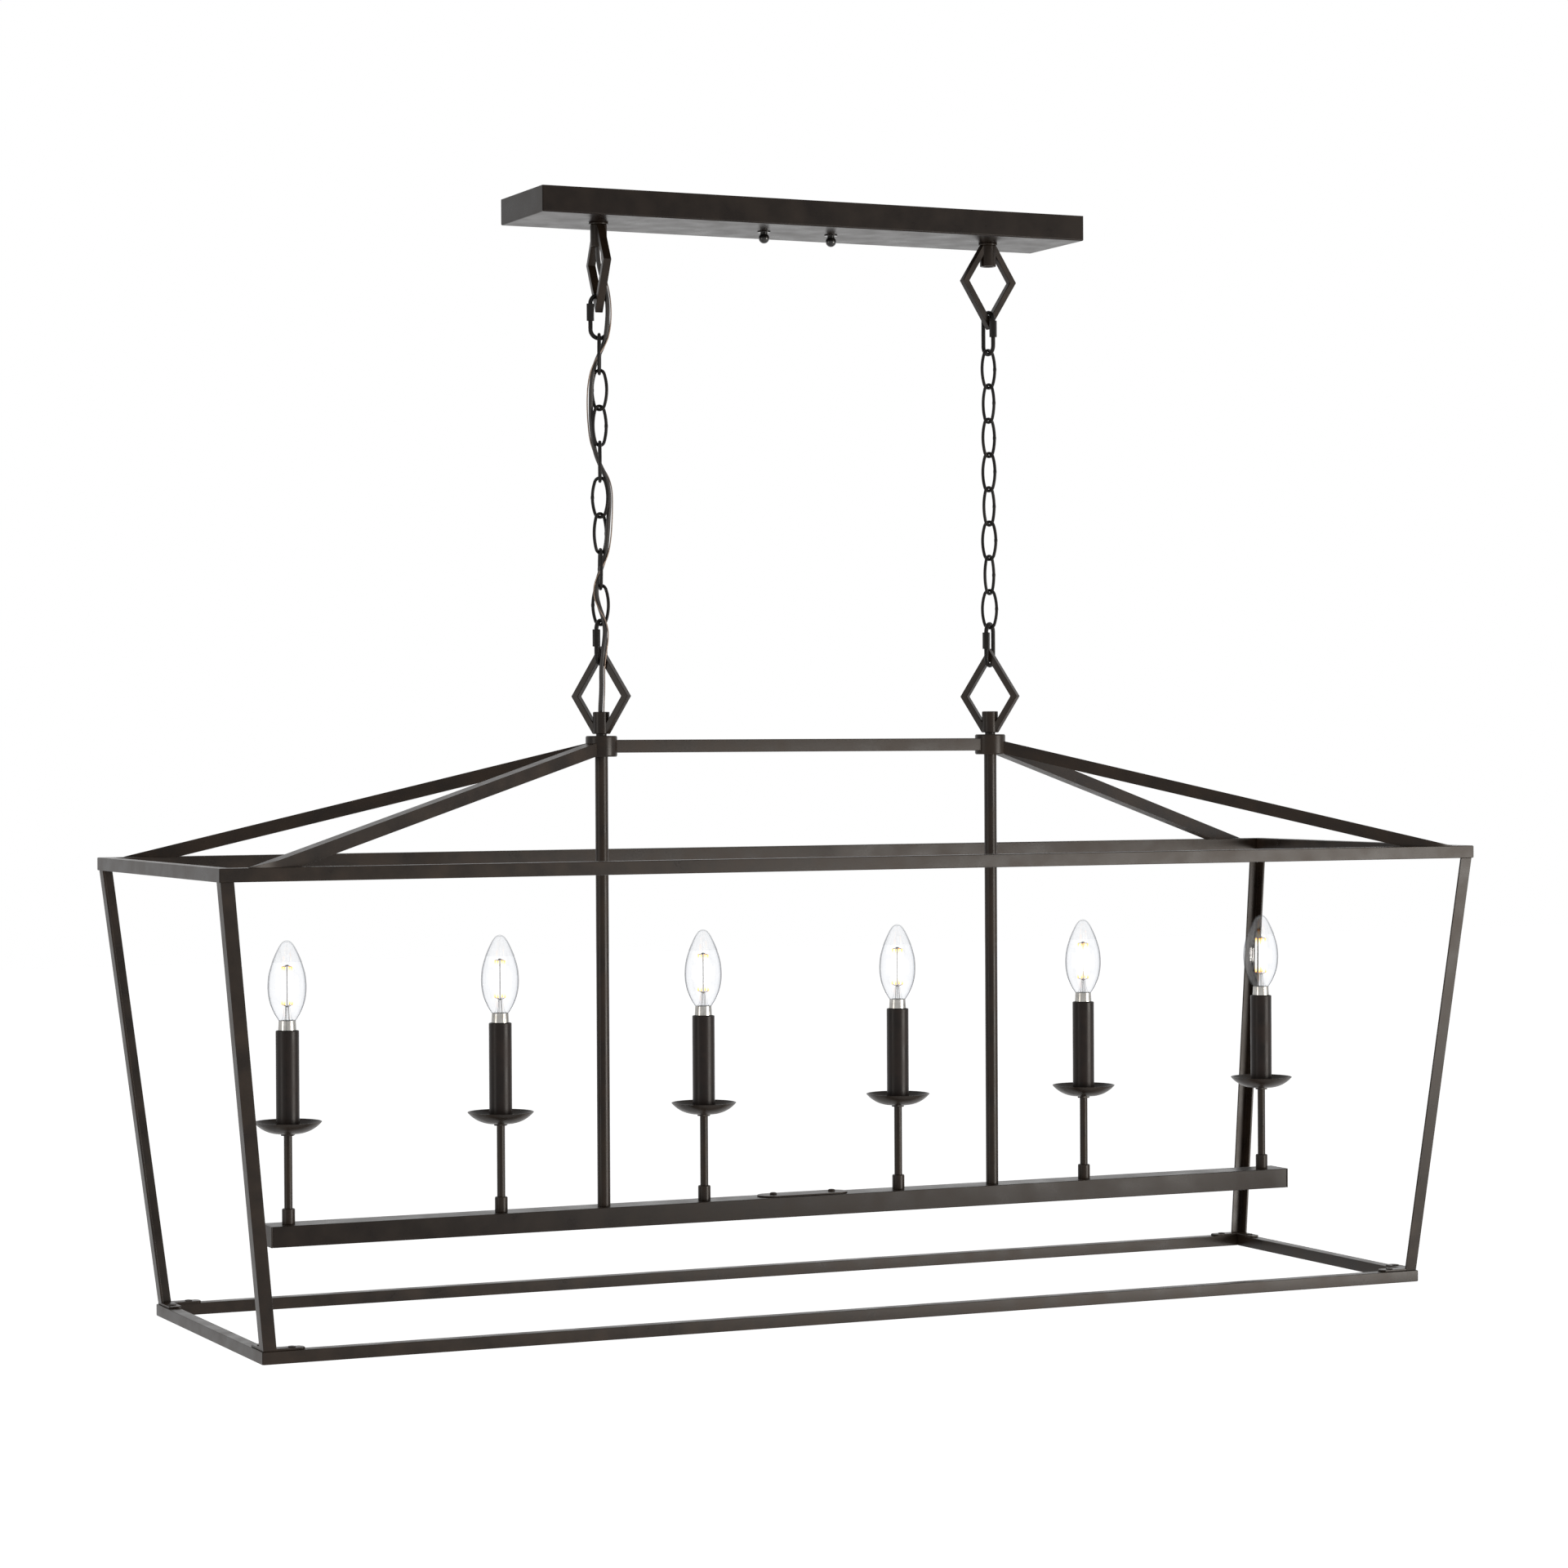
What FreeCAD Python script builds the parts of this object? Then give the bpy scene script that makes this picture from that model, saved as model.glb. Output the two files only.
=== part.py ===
"""Linear island pendant: a tapered open lantern with six candle lights on a long beam,
hung by two chains from a rectangular ceiling canopy. Millimetres, +Z up. The origin is the
centre of the canopy's rim on the ceiling, +X runs along the lamp and -Y faces the viewer."""
import FreeCAD
import Part
import math
import os

V = FreeCAD.Vector
UP = V(0, 0, 1)
ALONG = V(1, 0, 0)
ORIGIN = V(0, 0, 0)

# Clearances between pieces
FIT_GAP = 0.15          # round pieces that are screwed or welded together
SEAT_GAP = 0.2          # a piece standing loosely on another
RUN_GAP = 0.3           # pieces that move against each other
TRIM = 0.6              # small chamfer on edges that a hand meets

# Plan of the lamp
BEAM_LENGTH = 1055.0
BEAM_OVERHANG = 19.5                 # beam beyond the outer candles
CANDLE_COUNT = 6
CANDLE_PITCH = (BEAM_LENGTH - 2 * BEAM_OVERHANG) / (CANDLE_COUNT - 1)
HANGER_X = CANDLE_PITCH              # each hanger stands midway between two candles
SIDES = (-1, 1)

# Canopy
CANOPY_LENGTH = 558.8
CANOPY_WIDTH = 108.0
CANOPY_HEIGHT = 24.0
CANOPY_SHEET = 1.5
CANOPY_CORNER = 1.6
STUD_SPACING = 69.85
STUD_R = 2.1
STUD_REACH = 6.0                     # thread inside the ball nut
BALL_R = 5.0
BALL_NECK_R = 3.4
BALL_NECK = 1.6
BALL_WASHER_R = 6.2
BALL_WASHER = 1.0
CROSSBAR_LENGTH = 110.0
CROSSBAR_WIDTH = 26.0
CROSSBAR_SHEET = 2.5
BOX_SCREW_SPACING = 88.9
BOX_SLOT_R = 2.4
BOX_SLOT_LENGTH = 8.0
STUD_NUT_R = 4.2
STUD_NUT = 3.2
GROUND_X = 22.0
GROUND_R = 2.0
GROUND_HEAD_R = 4.0
GROUND_HEAD = 2.2
CONNECTOR_R = 4.5
CONNECTOR_TIP_R = 2.6
CONNECTOR_LENGTH = 20.0

# Threaded nipples and the diamond loops
NIPPLE_R = 5.0
NIPPLE_BORE_R = 3.6
NIPPLE_IN_SLEEVE = 15.0
NIPPLE_IN_CANOPY = 4.5
NIPPLE_IN_HUB = 7.0
NIPPLE_NUT_R = 8.0
NIPPLE_NUT = 3.0
LOOP_WASHER_R = 9.0
LOOP_WASHER = 2.0
LOOP_HALF_WIDTH = 30.0
LOOP_HALF_HEIGHT = 46.5
LOOP_CUT_HEIGHT = 35.0
LOOP_BAR = 6.0
LOOP_DEPTH = 7.4
SLEEVE_R = 7.75
SLEEVE_LENGTH = 20.5
LOOP_TO_HUB = 1.75
UPPER_LEFT_LOOP_TURN = 84.0
UPPER_RIGHT_LOOP_TURN = 4.0
LOWER_LOOP_TURN = -51.3

# Quick links
LINK_WIRE_R = 2.0
LINK_SPACING = 16.6
LINK_INNER_LENGTH = 36.2
LINK_SEAT = 5.5                      # wire centre above the loop's inner corner
LINK_MOUTH = 6.2
LINK_STUB = 1.1
LINK_NUT_LENGTH = 16.0
LINK_NUT_ACROSS = 6.4
LINK_NUT_TRAVEL = 7.4
UPPER_LEFT_LINK_TURN = -5.8
UPPER_RIGHT_LINK_TURN = 97.0
LOWER_LEFT_LINK_TURN = 38.6
LOWER_RIGHT_LINK_TURN = 38.7

# Chains
CHAIN_WIRE_R = 1.5
CHAIN_SPACING = 15.3                 # between the middles of the wire, at the waist
CHAIN_END_R = 5.5                    # end bend, at the middle of the wire
CHAIN_INNER_LENGTH = 33.5
WEAVE_TURN = -24.8                   # the cord weaves across a plane turned this far from X
LEFT_CHAIN_TURNS = (65.2, 129.2, 15.2, 70.2, 135.2, 21.2, 75.2, 138.2)
RIGHT_CHAIN_TURNS = (9.2, -74.8, 15.5, -67.8, 21.9, -60.8, 28.2, -53.8)
CHAIN_COUNT = len(LEFT_CHAIN_TURNS)

# Hubs, ridge and roof
HUB_R = 14.7
HUB_HEIGHT = 19.4
HUB_BORE_R = 4.2
HUB_RIM = 1.0
BAR = 12.0
BAR_WALL = 1.2
ROOF_DROP = 100.6                    # hub centre down to the top of the upper frame
ARM_INSET = 50.0
ARM_OVERRUN = 0.2                    # share of an arm drawn past its foot, then trimmed off

# Frames
UPPER_LENGTH = 1257.0
UPPER_WIDTH = 393.7
END_TAPER = 44.5                     # the lower frame is set in by this at each end
SIDE_TAPER = 31.85
LOWER_LENGTH = UPPER_LENGTH - 2 * END_TAPER
LOWER_WIDTH = UPPER_WIDTH - 2 * SIDE_TAPER
LOWER_DROP = 514.2                   # hub centre down to the top of the lower frame
LOWER_BAR_HEIGHT = 11.0
POST_LEG = 12.0
POST_WALL = 2.0
POST_INSET = 1.5
FOOT_LENGTH = 38.0
FOOT_SHEET = 2.0
FOOT_NOSE = 3.0
FOOT_SCREW_FROM_CORNER = 27.0
SCREW_R = 1.5
SCREW_HEAD_R = 3.4
SCREW_HEAD = 2.0
FOOT_SCREW_HEAD = 0.8                # low heads, hardly seen on the feet
SCREW_DRIVE = 4.1
SCREW_LENGTH = 8.0

# Lamp beam
BEAM_WIDTH = 32.0
BEAM_HEIGHT = 19.0
BEAM_WALL = 1.5
BEAM_DROP = 426.5                    # hub centre down to the top of the beam
HANGER_R = 6.0
HANGER_WALL = 1.2
COVER_LENGTH = 92.0
COVER_WIDTH = 26.0
COVER_SHEET = 1.5
COVER_SCREW_SPACING = 61.0
WIRE_SLOT_LENGTH = 42.0
WIRE_SLOT_WIDTH = 12.0
LEAD_R = 1.5

# Candles, heights above the beam
COLLAR_R = 5.9
COLLAR_HEIGHT = 14.0
STEM_R = 3.75
STEM_BORE_R = 2.4
STEM_IN_SOCKET = 6.0
DISH_NUT_TOP = 81.3
DISH_NUT_R = 6.65
DISH_NUT = 2.1
DISH_SHEET = 0.9
DISH_FLAT_R = 13.0
DISH_RIM_R = 30.5
DISH_DEPTH = 10.5
DISH_BULGE = 2.2
SOCKET_R = 8.4
SOCKET_LENGTH = 86.0
SOCKET_BORE_R = 6.6
SOCKET_BORE = 24.0
CANDLE_R = 10.5
CANDLE_WALL = 1.2
CANDLE_LENGTH = 91.2
BULB_SCREW_R = 5.9
BULB_SCREW = 20.0
BULB_BASE_R = 8.2
BULB_BASE_TOP_R = 7.6
BULB_BASE = 9.0
GLASS_WALL = 0.7
GLASS_HEIGHT = 71.6
GLASS_FOOT_R = 8.0
GLASS_WIDEST_R = 17.4
GLASS_FLAME = ((0.1, 0.7), (0.2, 0.87), (0.4, 1.0), (0.6, 0.925), (0.75, 0.735), (0.9, 0.455),
               (0.97, 0.26))         # shares of the height and of the widest radius
FILAMENT_COUNT = 4
FILAMENT_R = 0.8
FILAMENT_LENGTH = 34.0
FILAMENT_FOOT = 14.0
FILAMENT_SPREAD = 5.0
FILAMENT_TOP_SPREAD = 2.6
GLASS_STEM_R = 2.8
GLASS_POST_R = 0.6
FILAMENT_PLATE = 0.5                 # the discs that carry the filaments' ends

# Cord and ground wire
CORD_R = 2.1
GROUND_WIRE_R = 0.6
BEND_SHARE = 0.45                    # share of the shorter run that a bend takes up

# Heights, worked out from the ceiling down
canopy_bottom = -CANOPY_HEIGHT
upper_loop_end = canopy_bottom - LOOP_WASHER
loop_slope = math.atan2(LOOP_HALF_HEIGHT, LOOP_HALF_WIDTH)
loop_corner = LOOP_BAR / math.cos(loop_slope)
loop_height = LOOP_CUT_HEIGHT + LOOP_HALF_HEIGHT
link_half = LINK_INNER_LENGTH / 2 + LINK_WIRE_R
chain_half = CHAIN_INNER_LENGTH / 2 + CHAIN_WIRE_R
link_to_chain = LINK_WIRE_R + CHAIN_WIRE_R + RUN_GAP
chain_step = 2 * chain_half - 2 * CHAIN_WIRE_R - RUN_GAP
upper_link_top = upper_loop_end - loop_height + loop_corner + LINK_SEAT
upper_link_bottom = upper_link_top - 2 * link_half
chain_top = upper_link_bottom + link_to_chain
chain_bottom = chain_top - (CHAIN_COUNT - 1) * chain_step - 2 * chain_half
lower_link_top = chain_bottom + link_to_chain
lower_link_bottom = lower_link_top - 2 * link_half
lower_loop_end = lower_link_bottom + LINK_SEAT + loop_corner - loop_height
hub_top = lower_loop_end - LOOP_TO_HUB
hub_centre = hub_top - HUB_HEIGHT / 2
upper_top = hub_centre - ROOF_DROP
upper_bottom = upper_top - BAR
beam_top = hub_centre - BEAM_DROP
beam_bottom = beam_top - BEAM_HEIGHT
lower_top = hub_centre - LOWER_DROP
lower_bottom = lower_top - LOWER_BAR_HEIGHT
candle_xs = [(k - (CANDLE_COUNT - 1) / 2) * CANDLE_PITCH for k in range(CANDLE_COUNT)]
hanger_xs = [side * HANGER_X for side in SIDES]
stud_xs = [side * STUD_SPACING / 2 for side in SIDES]


def save(name, *solids):
    """Write one sub-part, which may hold several separate solids."""
    shape = solids[0] if len(solids) == 1 else Part.makeCompound(list(solids))
    shape.exportStep("parts/" + name + ".step")
    kept = shape.Solids
    print(f"{name:26s} {len(kept)} solids {sum(s.Volume for s in kept):10.1f} mm3 valid {shape.isValid()}")


def rod(x, y, low, high, radius):
    return Part.makeCylinder(radius, high - low, V(x, y, low))


def pipe(x, y, low, high, radius, bore):
    return rod(x, y, low, high, radius).cut(rod(x, y, low - TRIM, high + TRIM, bore))


def block(x, y, low, length, width, height):
    return Part.makeBox(length, width, height, V(x - length / 2, y - width / 2, low))


def prism(points, sweep):
    return Part.Face(Part.makePolygon(points + [points[0]])).extrude(sweep)


def slot(x, y, low, length, radius, height):
    """Upright solid with round ends along X, of the given overall length."""
    reach = length / 2 - radius
    body = block(x, y, low, 2 * reach, 2 * radius, height)
    for side in SIDES:
        body = body.fuse(rod(x + side * reach, y, low, low + height, radius))
    return body.removeSplitter()


def hexagon(x, y, low, high, across, turn=0.0):
    """Upright hexagonal prism measured across its flats."""
    radius = across / 2 / math.cos(math.pi / 6)
    corners = []
    for k in range(6):
        angle = math.radians(turn + 30 + 60 * k)
        corners.append(V(x + radius * math.cos(angle), y + radius * math.sin(angle), low))
    return prism(corners, V(0, 0, high - low))


def turned(profile, x, y, low):
    """Solid of revolution about a vertical axis, from (radius, height) corners."""
    points = [V(radius, 0, height) for radius, height in profile]
    face = Part.Face(Part.makePolygon(points + [points[0]]))
    solid = face.revolve(ORIGIN, UP, 360)
    solid.translate(V(x, y, low))
    return solid


def oval_wire_half(spacing, half, radius, side):
    """One leg of an oval link and half of each end bend, in the XZ plane."""
    bend = spacing / 2
    straight = half - bend
    disc = Part.Face(Part.Wire(Part.makeCircle(radius, V(side * bend, 0, -straight), UP)))
    leg = disc.extrude(V(0, 0, 2 * straight))
    solid = leg
    for level in (-straight, straight):
        disc = Part.Face(Part.Wire(Part.makeCircle(radius, V(side * bend, 0, level), UP)))
        sense = 1 if (level > 0) == (side < 0) else -1
        solid = solid.fuse(disc.revolve(V(0, 0, level), V(0, 1, 0), sense * 90))
    return solid


def oval_link(spacing, half, radius):
    ring = oval_wire_half(spacing, half, radius, -1)
    ring = ring.fuse(oval_wire_half(spacing, half, radius, 1))
    return ring.removeSplitter()


def bowed_link(spacing, half, end_r, radius):
    """Oval link with bowed legs: two shallow side arcs and two end arcs, in the XZ plane."""
    waist = spacing / 2
    end_level = half - end_r
    side_r = (waist ** 2 + end_level ** 2 - end_r ** 2) / (2 * (waist - end_r))
    swing = math.degrees(math.atan2(end_level, side_r - waist))
    link = None
    for side in SIDES:
        leg = (V(side * (waist - side_r), 0, 0), V(side * waist, 0, 0), UP, swing)
        bend = (V(0, 0, side * end_level), V(0, 0, side * half), ALONG, 90 - swing)
        for centre, at, heading, sweep in (leg, bend):
            disc = Part.Face(Part.Wire(Part.makeCircle(radius, at, heading)))
            disc.rotate(centre, V(0, 1, 0), sweep)
            arc = disc.revolve(centre, V(0, 1, 0), -2 * sweep)
            link = arc if link is None else link.fuse(arc)
    return link.removeSplitter()


def placed(shape, x, y, z, turn):
    copy = shape.copy()
    copy.rotate(ORIGIN, UP, turn)
    copy.translate(V(x, y, z))
    return copy


def screw(x, y, seat, height):
    """Screw whose head stands on a seat, with its shank below."""
    head = turned([(0, 0), (SCREW_HEAD_R, 0), (SCREW_HEAD_R, height / 2),
                   (SCREW_HEAD_R - height / 2, height), (0, height)], x, y, seat)
    drive = block(x, y, seat + height / 2, SCREW_DRIVE, SCREW_R / 2, height)
    return head.fuse(rod(x, y, seat - SCREW_LENGTH, seat, SCREW_R)).cut(drive).removeSplitter()


def square_tube(start, end, up_hint, width, height, wall):
    """Rectangular tube between two points, which lie on its centre line."""
    run = end - start
    ahead = V(run).normalize()
    across = ahead.cross(up_hint).normalize()
    upward = across.cross(ahead).normalize()

    def section(w, h):
        corners = []
        for i, j in ((-1, -1), (1, -1), (1, 1), (-1, 1)):
            corners.append(start + across * (i * w / 2) + upward * (j * h / 2))
        return prism(corners, run)

    tube = section(width, height)
    if wall:
        tube = tube.cut(section(width - 2 * wall, height - 2 * wall))
    return tube


def tube_along(points, radius, label):
    """Round tube on straight runs joined by tangent arcs, as large as the runs allow."""
    route = [V(*p) for p in points]
    edges = []
    at = route[0]
    smallest = None
    for before, corner, after in zip(route, route[1:], route[2:]):
        run_in = corner - before
        run_out = after - corner
        shorter = min(run_in.Length, run_out.Length)
        half_turn = run_in.getAngle(run_out) / 2
        reach = BEND_SHARE * shorter
        bend = reach / math.tan(half_turn)
        smallest = bend if smallest is None else min(smallest, bend)
        into = corner - V(run_in).normalize() * reach
        out = corner + V(run_out).normalize() * reach
        to_middle = V((into + out) * 0.5 - corner).normalize()
        mid = corner + to_middle * (bend / math.cos(half_turn) - bend)
        edges.append(Part.LineSegment(at, into).toShape())
        edges.append(Part.Arc(into, mid, out).toShape())
        at = out
    edges.append(Part.LineSegment(at, route[-1]).toShape())
    path = Part.Wire(edges)
    start = route[1] - route[0]
    ring = Part.Wire(Part.makeCircle(radius, route[0], start))
    tube = path.makePipeShell([ring], True, False)
    wanted = math.pi * radius * radius * path.Length
    print(f"{label}: length {path.Length:.1f}, smallest bend {smallest:.1f},"
          f" volume {tube.Volume:.1f} of {wanted:.1f}")
    return tube


os.makedirs("parts", exist_ok=True)

# Canopy: a folded pan, open to the ceiling
shell = block(0, 0, canopy_bottom, CANOPY_LENGTH, CANOPY_WIDTH, CANOPY_HEIGHT)
upright = [e for e in shell.Edges if abs(e.Vertexes[0].Z - e.Vertexes[-1].Z) > TRIM]
shell = shell.makeFillet(CANOPY_CORNER, upright)
room = block(0, 0, canopy_bottom + CANOPY_SHEET, CANOPY_LENGTH - 2 * CANOPY_SHEET,
             CANOPY_WIDTH - 2 * CANOPY_SHEET, CANOPY_HEIGHT)
pan = shell.cut(room)
for x in hanger_xs:
    pan = pan.cut(rod(x, 0, canopy_bottom - TRIM, 0, NIPPLE_R + FIT_GAP))
for x in stud_xs:
    pan = pan.cut(rod(x, 0, canopy_bottom - TRIM, 0, STUD_R + FIT_GAP))
save("canopy_pan", pan)

# Crossbar on the ceiling box, with the two studs that carry the canopy
bar = slot(0, 0, -CROSSBAR_SHEET, CROSSBAR_LENGTH, CROSSBAR_WIDTH / 2, CROSSBAR_SHEET)
for side in SIDES:
    box_slot = slot(side * BOX_SCREW_SPACING / 2, 0, -CROSSBAR_SHEET - TRIM, BOX_SLOT_LENGTH,
                    BOX_SLOT_R, CROSSBAR_SHEET + 2 * TRIM)
    bar = bar.cut(box_slot)
for x in stud_xs:
    bar = bar.cut(rod(x, 0, -CROSSBAR_SHEET - TRIM, TRIM, STUD_R + FIT_GAP))
bar = bar.cut(rod(GROUND_X, 0, -CROSSBAR_SHEET - TRIM, TRIM, GROUND_R + FIT_GAP))
save("mounting_crossbar", bar)
ball_seat = canopy_bottom - BALL_WASHER
studs = []
balls = []
for x in stud_xs:
    studs.append(rod(x, 0, ball_seat - STUD_REACH, 0, STUD_R))
    nut = hexagon(x, 0, -CROSSBAR_SHEET - STUD_NUT, -CROSSBAR_SHEET, 2 * STUD_NUT_R)
    studs.append(nut.cut(rod(x, 0, -CANOPY_HEIGHT, 0, STUD_R + FIT_GAP)))
    washer = pipe(x, 0, ball_seat, canopy_bottom, BALL_WASHER_R, STUD_R + FIT_GAP)
    balls.append(washer)
    ball_centre = ball_seat - BALL_NECK - math.sqrt(BALL_R ** 2 - BALL_NECK_R ** 2)
    ball = Part.makeSphere(BALL_R, V(x, 0, ball_centre))
    ball = ball.fuse(rod(x, 0, ball_centre, ball_seat, BALL_NECK_R))
    balls.append(ball.cut(rod(x, 0, ball_seat - STUD_REACH - FIT_GAP, 0, STUD_R + FIT_GAP)))
save("canopy_studs", *studs)
save("ball_nuts", *balls)
ground_seat = -CROSSBAR_SHEET
ground_screw = rod(GROUND_X, 0, ground_seat - GROUND_HEAD, ground_seat, GROUND_HEAD_R)
ground_screw = ground_screw.fuse(rod(GROUND_X, 0, ground_seat, 0, GROUND_R))
save("ground_screw", ground_screw.removeSplitter())

# Threaded nipples: from the canopy into the upper loops, and from the lower loops into the hubs
nipples = []
nipple_nuts = []
loop_washers = []
canopy_floor = canopy_bottom + CANOPY_SHEET
for x in hanger_xs:
    upper = (upper_loop_end - NIPPLE_IN_SLEEVE, canopy_floor + NIPPLE_IN_CANOPY)
    nipples.append(pipe(x, 0, upper[0], upper[1], NIPPLE_R, NIPPLE_BORE_R))
    nut = hexagon(x, 0, canopy_floor, canopy_floor + NIPPLE_NUT, 2 * NIPPLE_NUT_R)
    nipple_nuts.append(nut.cut(rod(x, 0, canopy_bottom, 0, NIPPLE_R + FIT_GAP)))
    ring = pipe(x, 0, upper_loop_end, canopy_bottom, LOOP_WASHER_R, NIPPLE_R + FIT_GAP)
    loop_washers.append(ring)
save("loop_nipples", *nipples)
save("nipple_nuts_and_washers", *nipple_nuts, *loop_washers)
hub_nipples = []
for x in hanger_xs:
    hub_nipples.append(pipe(x, 0, hub_top - NIPPLE_IN_HUB, lower_loop_end + NIPPLE_IN_SLEEVE,
                            NIPPLE_R, NIPPLE_BORE_R))
save("hub_nipples", *hub_nipples)


def diamond_loop(x, end, sense, turn):
    """Diamond of flat bar, cut off at its sleeve; sense is +1 where the sleeve is on top."""
    share = 1 - LOOP_CUT_HEIGHT / LOOP_HALF_HEIGHT
    inner_w = LOOP_HALF_WIDTH - LOOP_BAR / math.sin(loop_slope)
    inner_h = LOOP_HALF_HEIGHT - loop_corner
    y = -LOOP_DEPTH / 2

    def at(w, h):
        return V(w, y, sense * h)

    outer = [at(LOOP_HALF_WIDTH * share, LOOP_CUT_HEIGHT), at(LOOP_HALF_WIDTH, 0),
             at(0, -LOOP_HALF_HEIGHT), at(-LOOP_HALF_WIDTH, 0),
             at(-LOOP_HALF_WIDTH * share, LOOP_CUT_HEIGHT)]
    inner = [at(0, inner_h), at(inner_w, 0), at(0, -inner_h), at(-inner_w, 0)]
    depth = V(0, LOOP_DEPTH, 0)
    loop = prism(outer, depth).cut(prism(inner, depth))
    low, high = sorted((sense * LOOP_CUT_HEIGHT, sense * (LOOP_CUT_HEIGHT - SLEEVE_LENGTH)))
    loop = loop.fuse(rod(0, 0, low, high, SLEEVE_R))
    loop = loop.cut(rod(0, 0, low - TRIM, high + TRIM, NIPPLE_R + FIT_GAP))
    return placed(loop.removeSplitter(), x, 0, end - sense * LOOP_CUT_HEIGHT, turn)


save("upper_loop_left", diamond_loop(-HANGER_X, upper_loop_end, 1, UPPER_LEFT_LOOP_TURN))
save("upper_loop_right", diamond_loop(HANGER_X, upper_loop_end, 1, UPPER_RIGHT_LOOP_TURN))
save("lower_loop_left", diamond_loop(-HANGER_X, lower_loop_end, -1, LOWER_LOOP_TURN))
save("lower_loop_right", diamond_loop(HANGER_X, lower_loop_end, -1, LOWER_LOOP_TURN))

# Quick links: an oval with a mouth in one leg, closed by a sliding hexagon nut
nut_top = link_half - LINK_SPACING / 2
nut_low = nut_top - LINK_NUT_LENGTH
mouth_top = nut_top - LINK_STUB


def quick_link(name, side, x, top, turn):
    """Side is the sign of the leg that carries the nut, seen along the link's own X."""
    link = oval_link(LINK_SPACING, link_half, LINK_WIRE_R)
    leg = side * LINK_SPACING / 2
    link = link.cut(rod(leg, 0, mouth_top - LINK_MOUTH, mouth_top, LINK_WIRE_R + TRIM))
    nut = hexagon(leg, 0, nut_low, nut_top, LINK_NUT_ACROSS)
    nut = nut.cut(rod(leg, 0, nut_low - TRIM, nut_top + TRIM, LINK_WIRE_R + RUN_GAP))
    save("quick_link_" + name, placed(link, x, 0, top - link_half, turn))
    save("quick_link_nut_" + name, placed(nut, x, 0, top - link_half, turn))


quick_link("upper_left", -1, -HANGER_X, upper_link_top, UPPER_LEFT_LINK_TURN)
quick_link("upper_right", -1, HANGER_X, upper_link_top, UPPER_RIGHT_LINK_TURN)
quick_link("lower_left", -1, -HANGER_X, lower_link_top, LOWER_LEFT_LINK_TURN)
quick_link("lower_right", -1, HANGER_X, lower_link_top, LOWER_RIGHT_LINK_TURN)

# Chains: each link hangs a wire's thickness inside the one above
chain_link = bowed_link(CHAIN_SPACING, chain_half, CHAIN_END_R, CHAIN_WIRE_R)
for name, x, turns in (("chain_left", -HANGER_X, LEFT_CHAIN_TURNS),
                       ("chain_right", HANGER_X, RIGHT_CHAIN_TURNS)):
    links = []
    for k, turn in enumerate(turns):
        links.append(placed(chain_link, x, 0, chain_top - chain_half - k * chain_step, turn))
    save(name, *links)

# Hub drums, with a bore for the nipple above and for the wires below
hubs = []
for x in hanger_xs:
    hub = rod(x, 0, hub_top - HUB_HEIGHT, hub_top, HUB_R)
    rims = [e for e in hub.Edges if isinstance(e.Curve, Part.Circle)]
    hub = hub.makeChamfer(HUB_RIM, rims)
    hub = hub.cut(rod(x, 0, hub_top - NIPPLE_IN_HUB - FIT_GAP, hub_top + TRIM,
                      NIPPLE_R + FIT_GAP))
    hubs.append(hub.cut(rod(x, 0, hub_top - HUB_HEIGHT - TRIM, hub_top, HUB_BORE_R)))
save("hubs", *hubs)
hub_room = [rod(x, 0, hub_centre - HUB_HEIGHT, hub_centre + HUB_HEIGHT, HUB_R + FIT_GAP)
            for x in hanger_xs]
ridge = square_tube(V(-HANGER_X, 0, hub_centre), V(HANGER_X, 0, hub_centre), UP,
                    BAR, BAR, BAR_WALL)
save("ridge_bar", ridge.cut(hub_room[0]).cut(hub_room[1]))

# Roof arms slope from the hubs to the tops of the long upper rails
foot_x = UPPER_LENGTH / 2 - ARM_INSET
foot_y = UPPER_WIDTH / 2 - BAR / 2
above = block(0, 0, upper_top, UPPER_LENGTH, UPPER_WIDTH, 2 * ROOF_DROP)
arms = []
for side in SIDES:
    for face in SIDES:
        start = V(side * HANGER_X, 0, hub_centre)
        foot = V(side * foot_x, face * foot_y, upper_top)
        past = foot + (foot - start) * ARM_OVERRUN
        arm = square_tube(start, past, UP, BAR, BAR, BAR_WALL)
        arms.append(arm.common(above).cut(hub_room[0]).cut(hub_room[1]))
save("roof_arms", *arms)


def frame_rails(prefix, length, width, bottom, height, holes):
    """Four mitred square tubes; front is the side towards -Y."""
    x = length / 2
    y = width / 2
    mid = bottom + height / 2
    for face, name in ((-1, "front"), (1, "back")):
        line = face * (y - BAR / 2)
        tube = square_tube(V(-x, line, mid), V(x, line, mid), UP, BAR, height, BAR_WALL)
        wedge = [V(-x, face * y, bottom), V(x, face * y, bottom),
                 V(x - BAR, face * (y - BAR), bottom), V(-x + BAR, face * (y - BAR), bottom)]
        tube = tube.common(prism(wedge, V(0, 0, height)))
        for hole in holes:
            tube = tube.cut(hole)
        save(prefix + "_rail_" + name, tube)
    ends = []
    for side in SIDES:
        line = side * (x - BAR / 2)
        tube = square_tube(V(line, -y, mid), V(line, y, mid), UP, BAR, height, BAR_WALL)
        wedge = [V(side * x, -y, bottom), V(side * x, y, bottom),
                 V(side * (x - BAR), y - BAR, bottom), V(side * (x - BAR), -y + BAR, bottom)]
        tube = tube.common(prism(wedge, V(0, 0, height)))
        for hole in holes:
            tube = tube.cut(hole)
        ends.append(tube)
    save(prefix + "_end_rails", *ends)


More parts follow.
